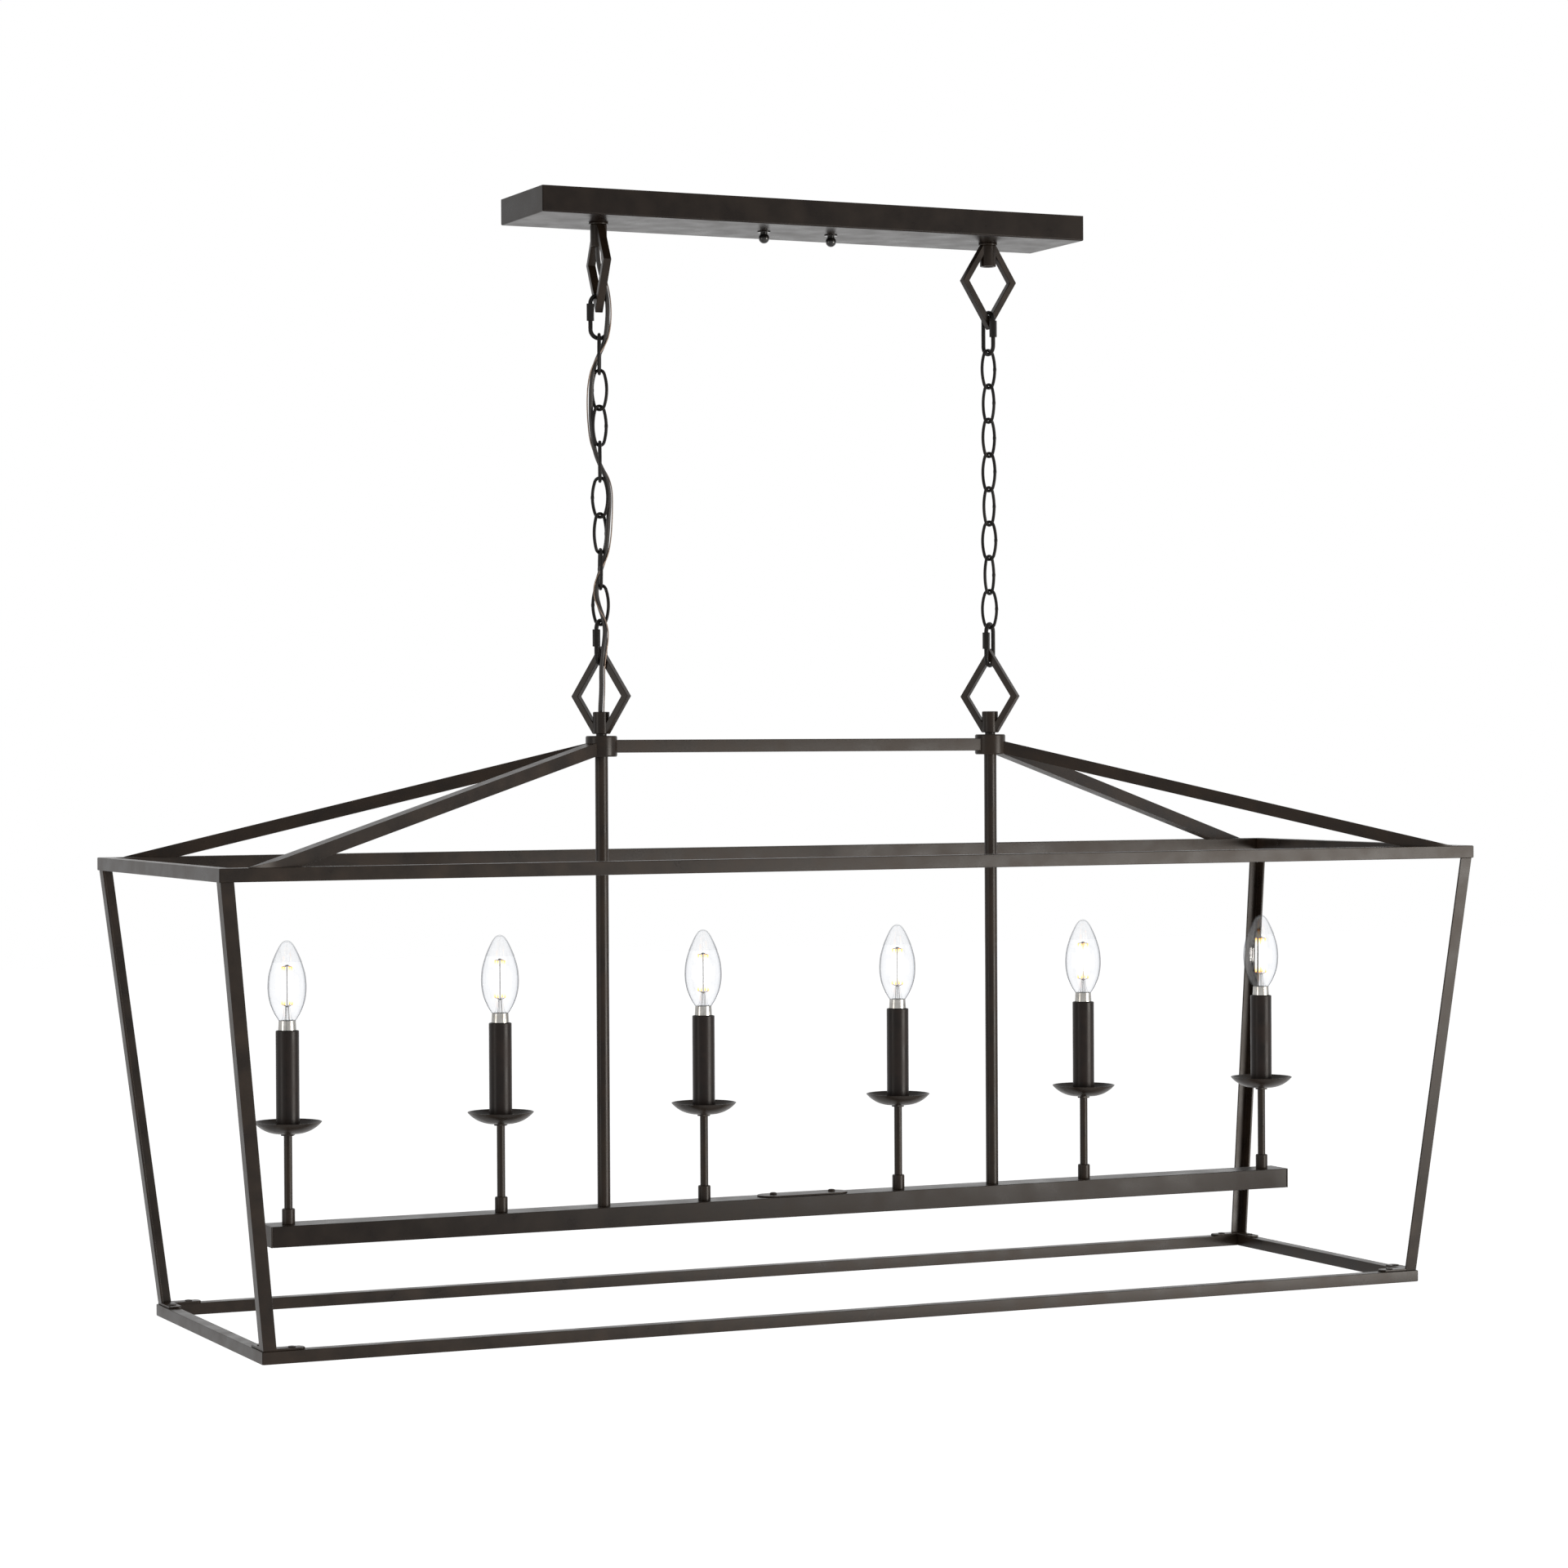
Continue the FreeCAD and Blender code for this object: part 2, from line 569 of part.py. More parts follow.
screw_spots = []
for side in SIDES:
    for face in SIDES:
        post_x = side * (LOWER_LENGTH / 2 - POST_INSET)
        post_y = face * (LOWER_WIDTH / 2 - POST_INSET)
        screw_spots.append((post_x - side * FOOT_SCREW_FROM_CORNER, post_y - face * POST_LEG / 2))
        screw_spots.append((post_x - side * POST_LEG / 2, post_y - face * FOOT_SCREW_FROM_CORNER))
screw_holes = [rod(x, y, lower_top - BAR / 2, lower_top + TRIM, SCREW_R + FIT_GAP)
               for x, y in screw_spots]
frame_rails("upper", UPPER_LENGTH, UPPER_WIDTH, upper_bottom, BAR, [])
frame_rails("lower", LOWER_LENGTH, LOWER_WIDTH, lower_bottom, LOWER_BAR_HEIGHT, screw_holes)

# Corner posts of angle section, leaning in from the upper to the lower frame
foot_top = lower_top + FOOT_SHEET
posts = []
for side in SIDES:
    for face in SIDES:
        low = V(side * (LOWER_LENGTH / 2 - POST_INSET), face * (LOWER_WIDTH / 2 - POST_INSET),
                lower_top)
        high = V(side * (UPPER_LENGTH / 2 - POST_INSET), face * (UPPER_WIDTH / 2 - POST_INSET),
                 upper_bottom)

        def ell(leg, wall, nose, at):
            steps = [(0, 0), (leg - nose, 0), (leg, nose), (leg, wall - nose), (leg - nose, wall),
                     (wall, wall), (wall, leg - nose), (wall - nose, leg), (nose, leg),
                     (0, leg - nose)]
            if not nose:
                steps = [(0, 0), (leg, 0), (leg, wall), (wall, wall), (wall, leg), (0, leg)]
            return [at - V(side * a, face * b, 0) for a, b in steps]

        post = prism(ell(POST_LEG, POST_WALL, 0, low), high - low)
        plate = prism(ell(FOOT_LENGTH, POST_LEG, FOOT_NOSE, low), V(0, 0, FOOT_SHEET))
        post = post.fuse(plate)
        for x, y in screw_spots:
            post = post.cut(rod(x, y, lower_top - TRIM, foot_top + TRIM, SCREW_R + FIT_GAP))
        posts.append(post.removeSplitter())
save("corner_posts", *posts)
save("foot_screws", *[screw(x, y, foot_top, FOOT_SCREW_HEAD) for x, y in screw_spots])

# Hanger tubes and the lamp beam they carry
hangers = []
for x in hanger_xs:
    hangers.append(pipe(x, 0, beam_top, hub_top - HUB_HEIGHT, HANGER_R, HANGER_R - HANGER_WALL))
save("hanger_tubes", *hangers)
beam_mid = beam_top - BEAM_HEIGHT / 2
half_beam = BEAM_LENGTH / 2
beam = square_tube(V(-half_beam, 0, beam_mid), V(half_beam, 0, beam_mid), UP,
                   BEAM_WIDTH, BEAM_HEIGHT, BEAM_WALL)
upright = [e for e in beam.Edges if e.Length > BEAM_LENGTH - TRIM
           and abs(abs(e.CenterOfMass.y) - BEAM_WIDTH / 2) < TRIM]
beam = beam.makeFillet(TRIM, upright)
for x in candle_xs:
    beam = beam.cut(rod(x, 0, beam_mid, beam_top + TRIM, STEM_R + FIT_GAP))
for x in hanger_xs:
    beam = beam.cut(rod(x, 0, beam_mid, beam_top + TRIM, HANGER_R - HANGER_WALL))
beam = beam.cut(slot(0, 0, beam_mid, WIRE_SLOT_LENGTH, WIRE_SLOT_WIDTH / 2, BEAM_HEIGHT))
cover_xs = [side * COVER_SCREW_SPACING / 2 for side in SIDES]
cover = slot(0, 0, beam_top, COVER_LENGTH, COVER_WIDTH / 2, COVER_SHEET)
rim = [e for e in cover.Edges if abs(e.CenterOfMass.z - beam_top - COVER_SHEET) < FIT_GAP]
cover = cover.makeChamfer(COVER_SHEET / 2, rim)
for x in cover_xs:
    hole = rod(x, 0, beam_mid, beam_top + 2 * COVER_SHEET, SCREW_R + FIT_GAP)
    beam = beam.cut(hole)
    cover = cover.cut(hole)
save("lamp_beam", beam)
save("beam_cover_plate", cover)
save("cover_plate_screws", *[screw(x, 0, beam_top + COVER_SHEET, SCREW_HEAD) for x in cover_xs])
plug_width = BEAM_WIDTH - 2 * BEAM_WALL - 2 * FIT_GAP
plug_height = BEAM_HEIGHT - 2 * BEAM_WALL - 2 * FIT_GAP
plugs = []
for side in SIDES:
    lip = block(side * (half_beam + BEAM_WALL / 2), 0, beam_bottom, BEAM_WALL,
                BEAM_WIDTH, BEAM_HEIGHT)
    plug = block(side * (half_beam - BEAM_WALL), 0, beam_mid - plug_height / 2,
                 2 * BEAM_WALL, plug_width, plug_height)
    plugs.append(lip.fuse(plug))
save("beam_end_caps", *plugs)

# Candles on the beam: collar, stem, nut, drip dish, socket and candle sleeve
dish_low = beam_top + DISH_NUT_TOP
dish_floor = dish_low + DISH_SHEET
socket_low = dish_floor
socket_top = socket_low + SOCKET_LENGTH
candle_low = dish_floor
stem_top = socket_low + STEM_IN_SOCKET
stem_foot = beam_mid + BEAM_WALL
collars = []
stems = []
dish_nuts = []
dishes = []
sockets = []
candles = []


def arc_edge(a, mid, b):
    return Part.Arc(V(a[0], 0, a[1]), V(mid[0], 0, mid[1]), V(b[0], 0, b[1])).toShape()


def line_edge(a, b):
    return Part.LineSegment(V(a[0], 0, a[1]), V(b[0], 0, b[1])).toShape()


def drip_dish(x):
    """Shallow spun dish: a flat middle and a curved wall up to a plain rim."""
    bore = STEM_R + FIT_GAP
    mid_r = (DISH_FLAT_R + DISH_RIM_R) / 2
    mid_h = DISH_DEPTH / 2 - DISH_BULGE
    edges = [line_edge((bore, 0), (DISH_FLAT_R, 0)),
             arc_edge((DISH_FLAT_R, 0), (mid_r, mid_h), (DISH_RIM_R, DISH_DEPTH)),
             line_edge((DISH_RIM_R, DISH_DEPTH), (DISH_RIM_R - DISH_SHEET, DISH_DEPTH)),
             arc_edge((DISH_RIM_R - DISH_SHEET, DISH_DEPTH),
                      (mid_r - DISH_SHEET / 2, mid_h + DISH_SHEET),
                      (DISH_FLAT_R, DISH_SHEET)),
             line_edge((DISH_FLAT_R, DISH_SHEET), (bore, DISH_SHEET)),
             line_edge((bore, DISH_SHEET), (bore, 0))]
    dish = Part.Face(Part.Wire(edges)).revolve(ORIGIN, UP, 360)
    dish.translate(V(x, 0, dish_low))
    return dish


for x in candle_xs:
    collar = turned([(STEM_R + FIT_GAP, 0), (COLLAR_R, 0), (COLLAR_R, COLLAR_HEIGHT - TRIM),
                     (COLLAR_R - TRIM, COLLAR_HEIGHT), (STEM_R + FIT_GAP, COLLAR_HEIGHT)],
                    x, 0, beam_top)
    collars.append(collar)
    stems.append(pipe(x, 0, stem_foot, stem_top, STEM_R, STEM_BORE_R))
    nut = hexagon(x, 0, dish_low - DISH_NUT, dish_low, DISH_NUT_R * math.sqrt(3))
    dish_nuts.append(nut.cut(rod(x, 0, beam_top, dish_low + TRIM, STEM_R + FIT_GAP)))
    dishes.append(drip_dish(x))
    socket = rod(x, 0, socket_low, socket_top, SOCKET_R)
    socket = socket.cut(rod(x, 0, socket_top - SOCKET_BORE, socket_top + TRIM, SOCKET_BORE_R))
    sockets.append(socket.cut(rod(x, 0, socket_low - TRIM, stem_top + FIT_GAP,
                                  STEM_R + FIT_GAP)))
    candles.append(pipe(x, 0, candle_low, candle_low + CANDLE_LENGTH, CANDLE_R,
                        CANDLE_R - CANDLE_WALL))
save("stem_collars", *collars)
save("candle_stems", *stems)
save("dish_nuts", *dish_nuts)
save("drip_dishes", *dishes)
save("lamp_sockets", *sockets)
save("candle_sleeves", *candles)

# Flame bulbs: a metal base, a clear glass and a glass stem with standing filaments
base_low = candle_low + CANDLE_LENGTH + SEAT_GAP
glass_low = base_low + BULB_BASE


def flame_profile(wall):
    """Half outline of the glass, drawn in by the wall."""
    outline = [V(GLASS_FOOT_R - wall, 0, 0)]
    for height_share, radius_share in GLASS_FLAME:
        outline.append(V((GLASS_WIDEST_R - wall) * radius_share, 0,
                         (GLASS_HEIGHT - wall) * height_share))
    outline.append(V(0, 0, GLASS_HEIGHT - 2 * wall))
    curve = Part.BSplineCurve()
    curve.interpolate(outline)
    return curve.toShape()


def bulb_glass(x):
    outer = flame_profile(0)
    inner = flame_profile(GLASS_WALL)
    tip = line_edge((0, GLASS_HEIGHT), (0, GLASS_HEIGHT - 2 * GLASS_WALL))
    foot = line_edge((GLASS_FOOT_R - GLASS_WALL, 0), (GLASS_FOOT_R, 0))
    wire = Part.Wire(Part.sortEdges([outer, tip, inner, foot])[0])
    glass = Part.Face(wire).revolve(ORIGIN, UP, 360)
    glass.translate(V(x, 0, glass_low))
    return glass


def bulb_base(x):
    """Base, glass stem and filaments, as separate solids."""
    screw_part = rod(x, 0, base_low - BULB_SCREW, base_low, BULB_SCREW_R)
    cup = turned([(0, 0), (BULB_BASE_R, 0), (BULB_BASE_TOP_R, BULB_BASE), (0, BULB_BASE)],
                 x, 0, base_low)
    base = screw_part.fuse(cup).removeSplitter()
    foot = FILAMENT_FOOT - SEAT_GAP
    top = FILAMENT_FOOT + FILAMENT_LENGTH + SEAT_GAP
    foot_r = FILAMENT_SPREAD + FILAMENT_R
    top_r = FILAMENT_TOP_SPREAD + FILAMENT_R
    stem = turned([(0, 0), (2 * GLASS_STEM_R, 0), (GLASS_STEM_R, foot / 2),
                   (GLASS_STEM_R, foot - FILAMENT_PLATE), (foot_r, foot - FILAMENT_PLATE),
                   (foot_r, foot), (GLASS_POST_R, foot), (GLASS_POST_R, top), (top_r, top),
                   (top_r, top + FILAMENT_PLATE), (0, top + FILAMENT_PLATE)], x, 0, glass_low)
    sticks = []
    for k in range(FILAMENT_COUNT):
        angle = 2 * math.pi * (k + 0.5) / FILAMENT_COUNT
        away = V(math.cos(angle), math.sin(angle), 0)
        low = V(x, 0, glass_low + FILAMENT_FOOT) + away * FILAMENT_SPREAD
        high = low + away * (FILAMENT_TOP_SPREAD - FILAMENT_SPREAD) + UP * FILAMENT_LENGTH
        sticks.append(Part.makeCylinder(FILAMENT_R, (high - low).Length, low, high - low))
    return [base, stem] + sticks


for number, x in enumerate(candle_xs, 1):
    save(f"bulb_{number}_glass", bulb_glass(x))
    save(f"bulb_{number}_base", *bulb_base(x))

# Leads hidden in the left hanger and the beam
lead_level = beam_bottom + BEAM_WALL + LEAD_R + SEAT_GAP
lead_x = half_beam - HANGER_R
across = Part.makeCylinder(LEAD_R, 2 * lead_x, V(-lead_x, 0, lead_level), ALONG)
drop = rod(-HANGER_X, 0, lead_level + LEAD_R + SEAT_GAP, hub_top - HUB_HEIGHT, LEAD_R)
save("lamp_leads", across, drop)

# Supply cord and ground wire, woven through the left chain. Each point is the distance
# across the weave plane, the distance in front of it, and the height.
CORD_ROUTE = (
    (19.0, -8.8, -3.4), (7.6, -3.7, -3.6), (-0.9, 0.0, -12.0), (-1.2, 0.0, -26.0),
    (-0.8, 0.0, -40.0), (-1.0, 0.0, -54.0), (1.0, 0.0, -69.0), (6.5, 1.5, -86.0),
    (8.5, 3.0, -103.0), (7.5, 3.0, -120.0), (5.5, 2.5, -134.0), (0.0, 1.5, -146.0),
    (-5.0, 1.5, -158.0), (-7.5, 1.5, -173.0), (-8.0, 1.0, -190.0), (-8.0, 0.5, -207.0),
    (-6.5, -0.5, -224.0), (-4.5, -1.0, -236.0), (-0.5, -1.0, -247.0), (5.0, -2.0, -258.0),
    (8.0, -2.5, -270.0), (8.5, -2.0, -284.0), (7.5, -1.5, -300.0), (6.5, -0.5, -316.0),
    (5.0, 0.5, -332.0), (0.5, 1.0, -345.0), (-3.0, 2.5, -356.0), (-4.0, 4.0, -368.0),
    (-1.0, 5.0, -380.0), (3.0, 5.5, -391.0), (4.5, 7.0, -402.0), (3.5, 9.0, -413.0),
    (2.0, 9.5, -425.0), (0.5, 6.5, -439.0), (0.5, 2.0, -456.0), (-0.9, 0.0, -474.0),
    (-0.7, 0.0, -490.0), (-0.9, 0.0, -505.0))
GROUND_ROUTE = (
    (18.5, -12.0, -8.6), (9.0, -5.8, -8.8), (2.6, -0.8, -16.0), (2.2, 0.0, -27.0),
    (2.5, 0.0, -40.0), (2.3, 0.0, -54.0), (4.2, 0.0, -69.0), (9.5, 2.0, -86.0),
    (11.5, 3.5, -103.0), (11.0, 4.0, -120.0), (8.0, 4.5, -134.0), (0.5, 5.0, -146.0),
    (-7.0, 4.0, -158.0), (-10.5, 2.5, -173.0), (-11.5, 1.5, -190.0), (-11.0, 0.5, -207.0),
    (-9.5, -2.0, -224.0), (-6.0, -4.0, -236.0), (0.0, -4.5, -247.0), (7.5, -4.5, -258.0),
    (11.0, -3.0, -270.0), (11.5, -2.0, -284.0), (11.0, -1.0, -300.0), (10.0, 0.0, -316.0),
    (7.5, 2.5, -332.0), (1.0, 4.5, -345.0), (-5.0, 5.0, -356.0), (-6.5, 5.5, -368.0),
    (-2.5, 8.0, -380.0), (4.5, 8.5, -391.0), (7.5, 9.0, -402.0), (7.0, 9.5, -413.0),
    (5.0, 9.5, -425.0), (3.5, 7.0, -439.0), (3.5, 2.5, -456.0), (2.3, 0.0, -474.0),
    (2.5, 0.0, -490.0), (2.3, 0.0, -505.0))
weave = math.radians(WEAVE_TURN)


def woven(route):
    """Turn the route's offsets into points beside the left hanger's axis."""
    across_plane = V(math.cos(weave), math.sin(weave), 0)
    in_front = V(math.sin(weave), -math.cos(weave), 0)
    axis = V(-HANGER_X, 0, 0)
    return [axis + across_plane * a + in_front * b + V(0, 0, c) for a, b, c in route]


cord_points = woven(CORD_ROUTE)
ground_points = woven(GROUND_ROUTE)
save("supply_cord", tube_along(cord_points, CORD_R, "supply cord"))
save("ground_wire", tube_along(ground_points, GROUND_WIRE_R, "ground wire"))

# Wire connectors on the cord's upper end, inside the canopy
cord_end = cord_points[0]
away = V(cord_end - cord_points[1]).normalize()
sideways = away.cross(UP).normalize()
connectors = []
for side in SIDES:
    foot = cord_end + away * RUN_GAP + sideways * (side * (CONNECTOR_R + FIT_GAP))
    foot = V(foot.x, foot.y, canopy_floor + CONNECTOR_R + SEAT_GAP)
    connectors.append(Part.makeCone(CONNECTOR_R, CONNECTOR_TIP_R, CONNECTOR_LENGTH, foot, away))
save("wire_connectors", *connectors)
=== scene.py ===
# %% [markdown]
# # A linear island pendant
# A tapered open lantern of square bar hangs by two chains from a flat ceiling canopy, and six
# candle lights stand on a beam inside it. The measured solids of the lamp are already in place.
# This lesson dresses them: every visible piece is modelled again with rounded edges, welds and
# rims, and gets a finish that answers to light as dark bronze paint, glass or copper would.
# %% Load the measured lamp
import math
import bpy
from mathutils import Matrix, Vector


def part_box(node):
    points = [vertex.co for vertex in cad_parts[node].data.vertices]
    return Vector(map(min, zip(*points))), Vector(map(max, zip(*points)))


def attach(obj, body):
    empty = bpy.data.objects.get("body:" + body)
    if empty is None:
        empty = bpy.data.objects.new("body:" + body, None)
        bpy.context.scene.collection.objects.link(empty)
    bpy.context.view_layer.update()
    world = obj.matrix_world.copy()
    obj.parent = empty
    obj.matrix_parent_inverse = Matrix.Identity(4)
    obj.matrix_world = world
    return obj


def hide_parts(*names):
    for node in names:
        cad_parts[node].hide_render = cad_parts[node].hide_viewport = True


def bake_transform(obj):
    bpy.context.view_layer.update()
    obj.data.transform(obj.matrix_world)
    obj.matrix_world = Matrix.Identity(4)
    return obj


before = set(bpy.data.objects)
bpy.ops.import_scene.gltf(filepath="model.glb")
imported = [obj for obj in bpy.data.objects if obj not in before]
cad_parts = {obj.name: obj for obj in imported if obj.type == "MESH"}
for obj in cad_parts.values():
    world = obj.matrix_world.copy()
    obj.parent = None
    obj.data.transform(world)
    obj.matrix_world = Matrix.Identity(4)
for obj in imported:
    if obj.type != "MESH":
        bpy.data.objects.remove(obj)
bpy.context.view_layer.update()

MM = 0.001
SIDES = (-1, 1)


def span(node):
    """Lowest and highest corner of one measured solid, in millimetres."""
    low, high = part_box(node)
    return low / MM, high / MM


# %% [markdown]
# ## Small helpers
# Most steps below are Blender's own operators, which act on the selected piece. These helpers
# choose it, put its place into its mesh, apply a modifier, give it a material and take away
# what is no longer needed.
# %% Choose, settle, modify and paint


def only(*pieces):
    """Select these pieces and nothing else; the first is the active one."""
    bpy.ops.object.select_all(action="DESELECT")
    for piece in pieces:
        piece.select_set(True)
    bpy.context.view_layer.objects.active = pieces[0]


def mode(kind):
    """Go to EDIT mode, or back to OBJECT mode."""
    bpy.ops.object.mode_set(mode=kind)


def face_out():
    """Turn every face outward, and leave edit mode."""
    bpy.ops.mesh.select_all(action="SELECT")
    bpy.ops.mesh.normals_make_consistent(inside=False)
    mode("OBJECT")


def settle(name):
    """Name the active piece, put its place and turn into its mesh, and return it."""
    piece = bpy.context.object
    piece.name = name
    bpy.ops.object.transform_apply(location=True, rotation=True, scale=True)
    return piece


def modify(piece, kind, **settings):
    """Put one modifier with these settings on the piece, and apply it."""
    only(piece)
    bpy.ops.object.modifier_add(type=kind)
    modifier = piece.modifiers[-1]
    for name, value in settings.items():
        setattr(modifier, name, value)
    bpy.ops.object.modifier_apply(modifier=modifier.name)


def paint(piece, material):
    """Give the piece this material and no other."""
    piece.data.materials.clear()
    piece.data.materials.append(material)


def take_away(*pieces):
    """Remove pieces that were only patterns or tools."""
    for piece in pieces:
        bpy.data.objects.remove(piece)


# %% [markdown]
# ## The camera
# The lamp is seen from its left and from half its height, with a long lens. Position and turn
# were worked out from the corners of the canopy and of both frames, which are known sizes. The
# focal length is written in pixels of the square picture, and turned into a lens for a 36 mm
# sensor here.
# %% The camera
PICTURE = 1920
FOCAL = 4848.5
SENSOR = 36.0
CAMERA_AT = Vector((-1.582, -3.4077, -0.5081))
YAW = -0.4305
PITCH = -0.0100
ROLL = -0.0052
level_ahead = Vector((-math.sin(YAW), math.cos(YAW), 0))
level_right = Vector((math.cos(YAW), math.sin(YAW), 0))
ahead = level_ahead * math.cos(PITCH) + Vector((0, 0, math.sin(PITCH)))
upward = Vector((0, 0, math.cos(PITCH))) - level_ahead * math.sin(PITCH)
right = level_right * math.cos(ROLL) + upward * math.sin(ROLL)
upward = upward * math.cos(ROLL) - level_right * math.sin(ROLL)
bpy.ops.object.camera_add()
camera = bpy.context.object
camera.name = "viewer"
camera.data.sensor_width = SENSOR
camera.data.lens = FOCAL / PICTURE * SENSOR
turned = Matrix((right, upward, -ahead)).transposed().to_4x4()
camera.matrix_world = Matrix.Translation(CAMERA_AT) @ turned
bpy.context.scene.camera = camera
print("lens", round(camera.data.lens, 1), "mm")

# %% [markdown]
# ## The supply cord and the ground wire
# A flexible cord comes out of the canopy, wanders in and out of the left chain and dives into
# the hub of the lantern, with the bare ground wire beside it. Each is a smooth NURBS line
# through 38 points: the distance across the weave, the distance in front of it and the height.
# They were set one by one, and a numerical search then moved those beside the chain clear of its
# links. A round bevel gives the line its thickness.
# %% Where the cord and the wire run
HANGER_X = 0.2032
WEAVE_TURN = math.radians(-24.8)
CORD_ROUTE = (
    (0.019, -0.0088, -0.0034), (0.0076, -0.0037, -0.0036), (-0.0009, 0, -0.012),
    (-0.0012, 0, -0.026), (-0.0008, 0, -0.04), (-0.001, 0, -0.054), (0.001, 0, -0.069),
    (0.0065, 0.0015, -0.086), (0.0085, 0.003, -0.103), (0.0075, 0.003, -0.12),
    (0.0055, 0.0025, -0.134), (0, 0.0015, -0.146), (-0.005, 0.0015, -0.158),
    (-0.0075, 0.0015, -0.173), (-0.008, 0.001, -0.19), (-0.008, 0.0005, -0.207),
    (-0.0065, -0.0005, -0.224), (-0.0045, -0.001, -0.236), (-0.0005, -0.001, -0.247),
    (0.005, -0.002, -0.258), (0.008, -0.0025, -0.27), (0.0085, -0.002, -0.284),
    (0.0075, -0.0015, -0.3), (0.0065, -0.0005, -0.316), (0.005, 0.0005, -0.332),
    (0.0005, 0.001, -0.345), (-0.003, 0.0025, -0.356), (-0.004, 0.004, -0.368),
    (-0.001, 0.005, -0.38), (0.003, 0.0055, -0.391), (0.0045, 0.007, -0.402),
    (0.0035, 0.009, -0.413), (0.002, 0.0095, -0.425), (0.0005, 0.0065, -0.439),
    (0.0005, 0.002, -0.456), (-0.0009, 0, -0.474), (-0.0007, 0, -0.49), (-0.0009, 0, -0.505))
GROUND_ROUTE = (
    (0.0185, -0.012, -0.0086), (0.009, -0.0058, -0.0088), (0.0026, -0.0008, -0.016),
    (0.0022, 0, -0.027), (0.0025, 0, -0.04), (0.0023, 0, -0.054), (0.0042, 0, -0.069),
    (0.0095, 0.002, -0.086), (0.0115, 0.0035, -0.103), (0.011, 0.004, -0.12),
    (0.008, 0.0045, -0.134), (0.0005, 0.005, -0.146), (-0.007, 0.004, -0.158),
    (-0.0105, 0.0025, -0.173), (-0.0115, 0.0015, -0.19), (-0.011, 0.0005, -0.207),
    (-0.0095, -0.002, -0.224), (-0.006, -0.004, -0.236), (0, -0.0045, -0.247),
    (0.0075, -0.0045, -0.258), (0.011, -0.003, -0.27), (0.0115, -0.002, -0.284),
    (0.011, -0.001, -0.3), (0.01, 0, -0.316), (0.0075, 0.0025, -0.332), (0.001, 0.0045, -0.345),
    (-0.005, 0.005, -0.356), (-0.0065, 0.0055, -0.368), (-0.0025, 0.008, -0.38),
    (0.0045, 0.0085, -0.391), (0.0075, 0.009, -0.402), (0.007, 0.0095, -0.413),
    (0.005, 0.0095, -0.425), (0.0035, 0.007, -0.439), (0.0035, 0.0025, -0.456),
    (0.0023, 0, -0.474), (0.0025, 0, -0.49), (0.0023, 0, -0.505))


def woven(route):
    """Turn the route's distances into points beside the left hanger, in metres."""
    across = Vector((math.cos(WEAVE_TURN), math.sin(WEAVE_TURN), 0))
    front = Vector((math.sin(WEAVE_TURN), -math.cos(WEAVE_TURN), 0))
    start = Vector((-HANGER_X, 0, 0))
    return [start + across * a + front * b + Vector((0, 0, c)) for a, b, c in route]


# %% [markdown]
# The chain swings with the lamp, so the cord has to bend at four places: under the canopy, below
# the upper quick link, above the lower one and in the lower loop. The finished tube is cut at
# three heights into four pieces; the bodies and heights of the four bends are listed, but nothing
# here uses them.
# %% The cord and the wire, cut into four lengths
CORD_R = 2.1 * MM
GROUND_R = 0.6 * MM
CORD_CUTS = (-0.096, -0.262, -0.431)
SPLINE_ORDER = 3
LINE_STEPS = 8
ROUND_STEPS = 5
BENDS = (("ceiling_mount", "upper_left_link", -0.040, -0.092),
         ("upper_left_link", "left_chain", -0.100, -0.150),
         ("left_chain", "lower_left_link", -0.385, -0.428),
         ("lower_left_link", "lantern", -0.434, -0.470))


def round_wire(name, points, radius, closed=False):
    """A round wire made a mesh: a smooth open NURBS line, or a closed chain of short runs."""
    bpy.ops.curve.primitive_nurbs_path_add()
    line = bpy.context.object
    line.name = name
    line.data.splines.clear()
    spline = line.data.splines.new("POLY" if closed else "NURBS")
    spline.points.add(len(points) - 1)
    for spot, point in zip(spline.points, points):
        spot.co = (*point, 1)
    if closed:
        spline.use_cyclic_u = True
    else:
        spline.order_u = SPLINE_ORDER
        spline.use_endpoint_u = True
        spline.resolution_u = LINE_STEPS
        line.data.use_fill_caps = True
    line.data.bevel_depth = radius
    line.data.bevel_resolution = ROUND_STEPS
    bpy.ops.object.convert(target="MESH")
    return bpy.context.object


def cut_between(piece, name, low, high):
    """A copy of the piece that keeps only what lies between two heights, in metres."""
    only(piece)
    bpy.ops.object.duplicate(linked=False)
    part = bpy.context.object
    part.name = name
    mode("EDIT")
    for height, upper in ((low, False), (high, True)):
        if height is not None:
            bpy.ops.mesh.select_all(action="SELECT")
            bpy.ops.mesh.bisect(plane_co=(0, 0, height), plane_no=(0, 0, 1),
                                clear_inner=not upper, clear_outer=upper)
    mode("OBJECT")
    bpy.ops.object.shade_smooth()
    return part


cord_lengths = []
wire_lengths = []
for name, route, radius, lengths in (("supply_cord_line", CORD_ROUTE, CORD_R, cord_lengths),
                                     ("ground_wire_line", GROUND_ROUTE, GROUND_R, wire_lengths)):
    whole = round_wire(name, woven(route), radius)
    tops = (None,) + CORD_CUTS
    bottoms = CORD_CUTS + (None,)
    for k, (top, bottom) in enumerate(zip(tops, bottoms), 1):
        lengths.append(cut_between(whole, f"{name}_{k}", bottom, top))
    take_away(whole)

# %% [markdown]
# ## The finishes
# The steel is painted a dark oil-rubbed bronze: nearly black, a little brown, satin. Such paint
# is never one flat colour. A shared group gives it soft mottling, a faint orange-peel surface
# and changes of gloss, and each finish sets its own colour and amount.
# %% Nodes and links in few words


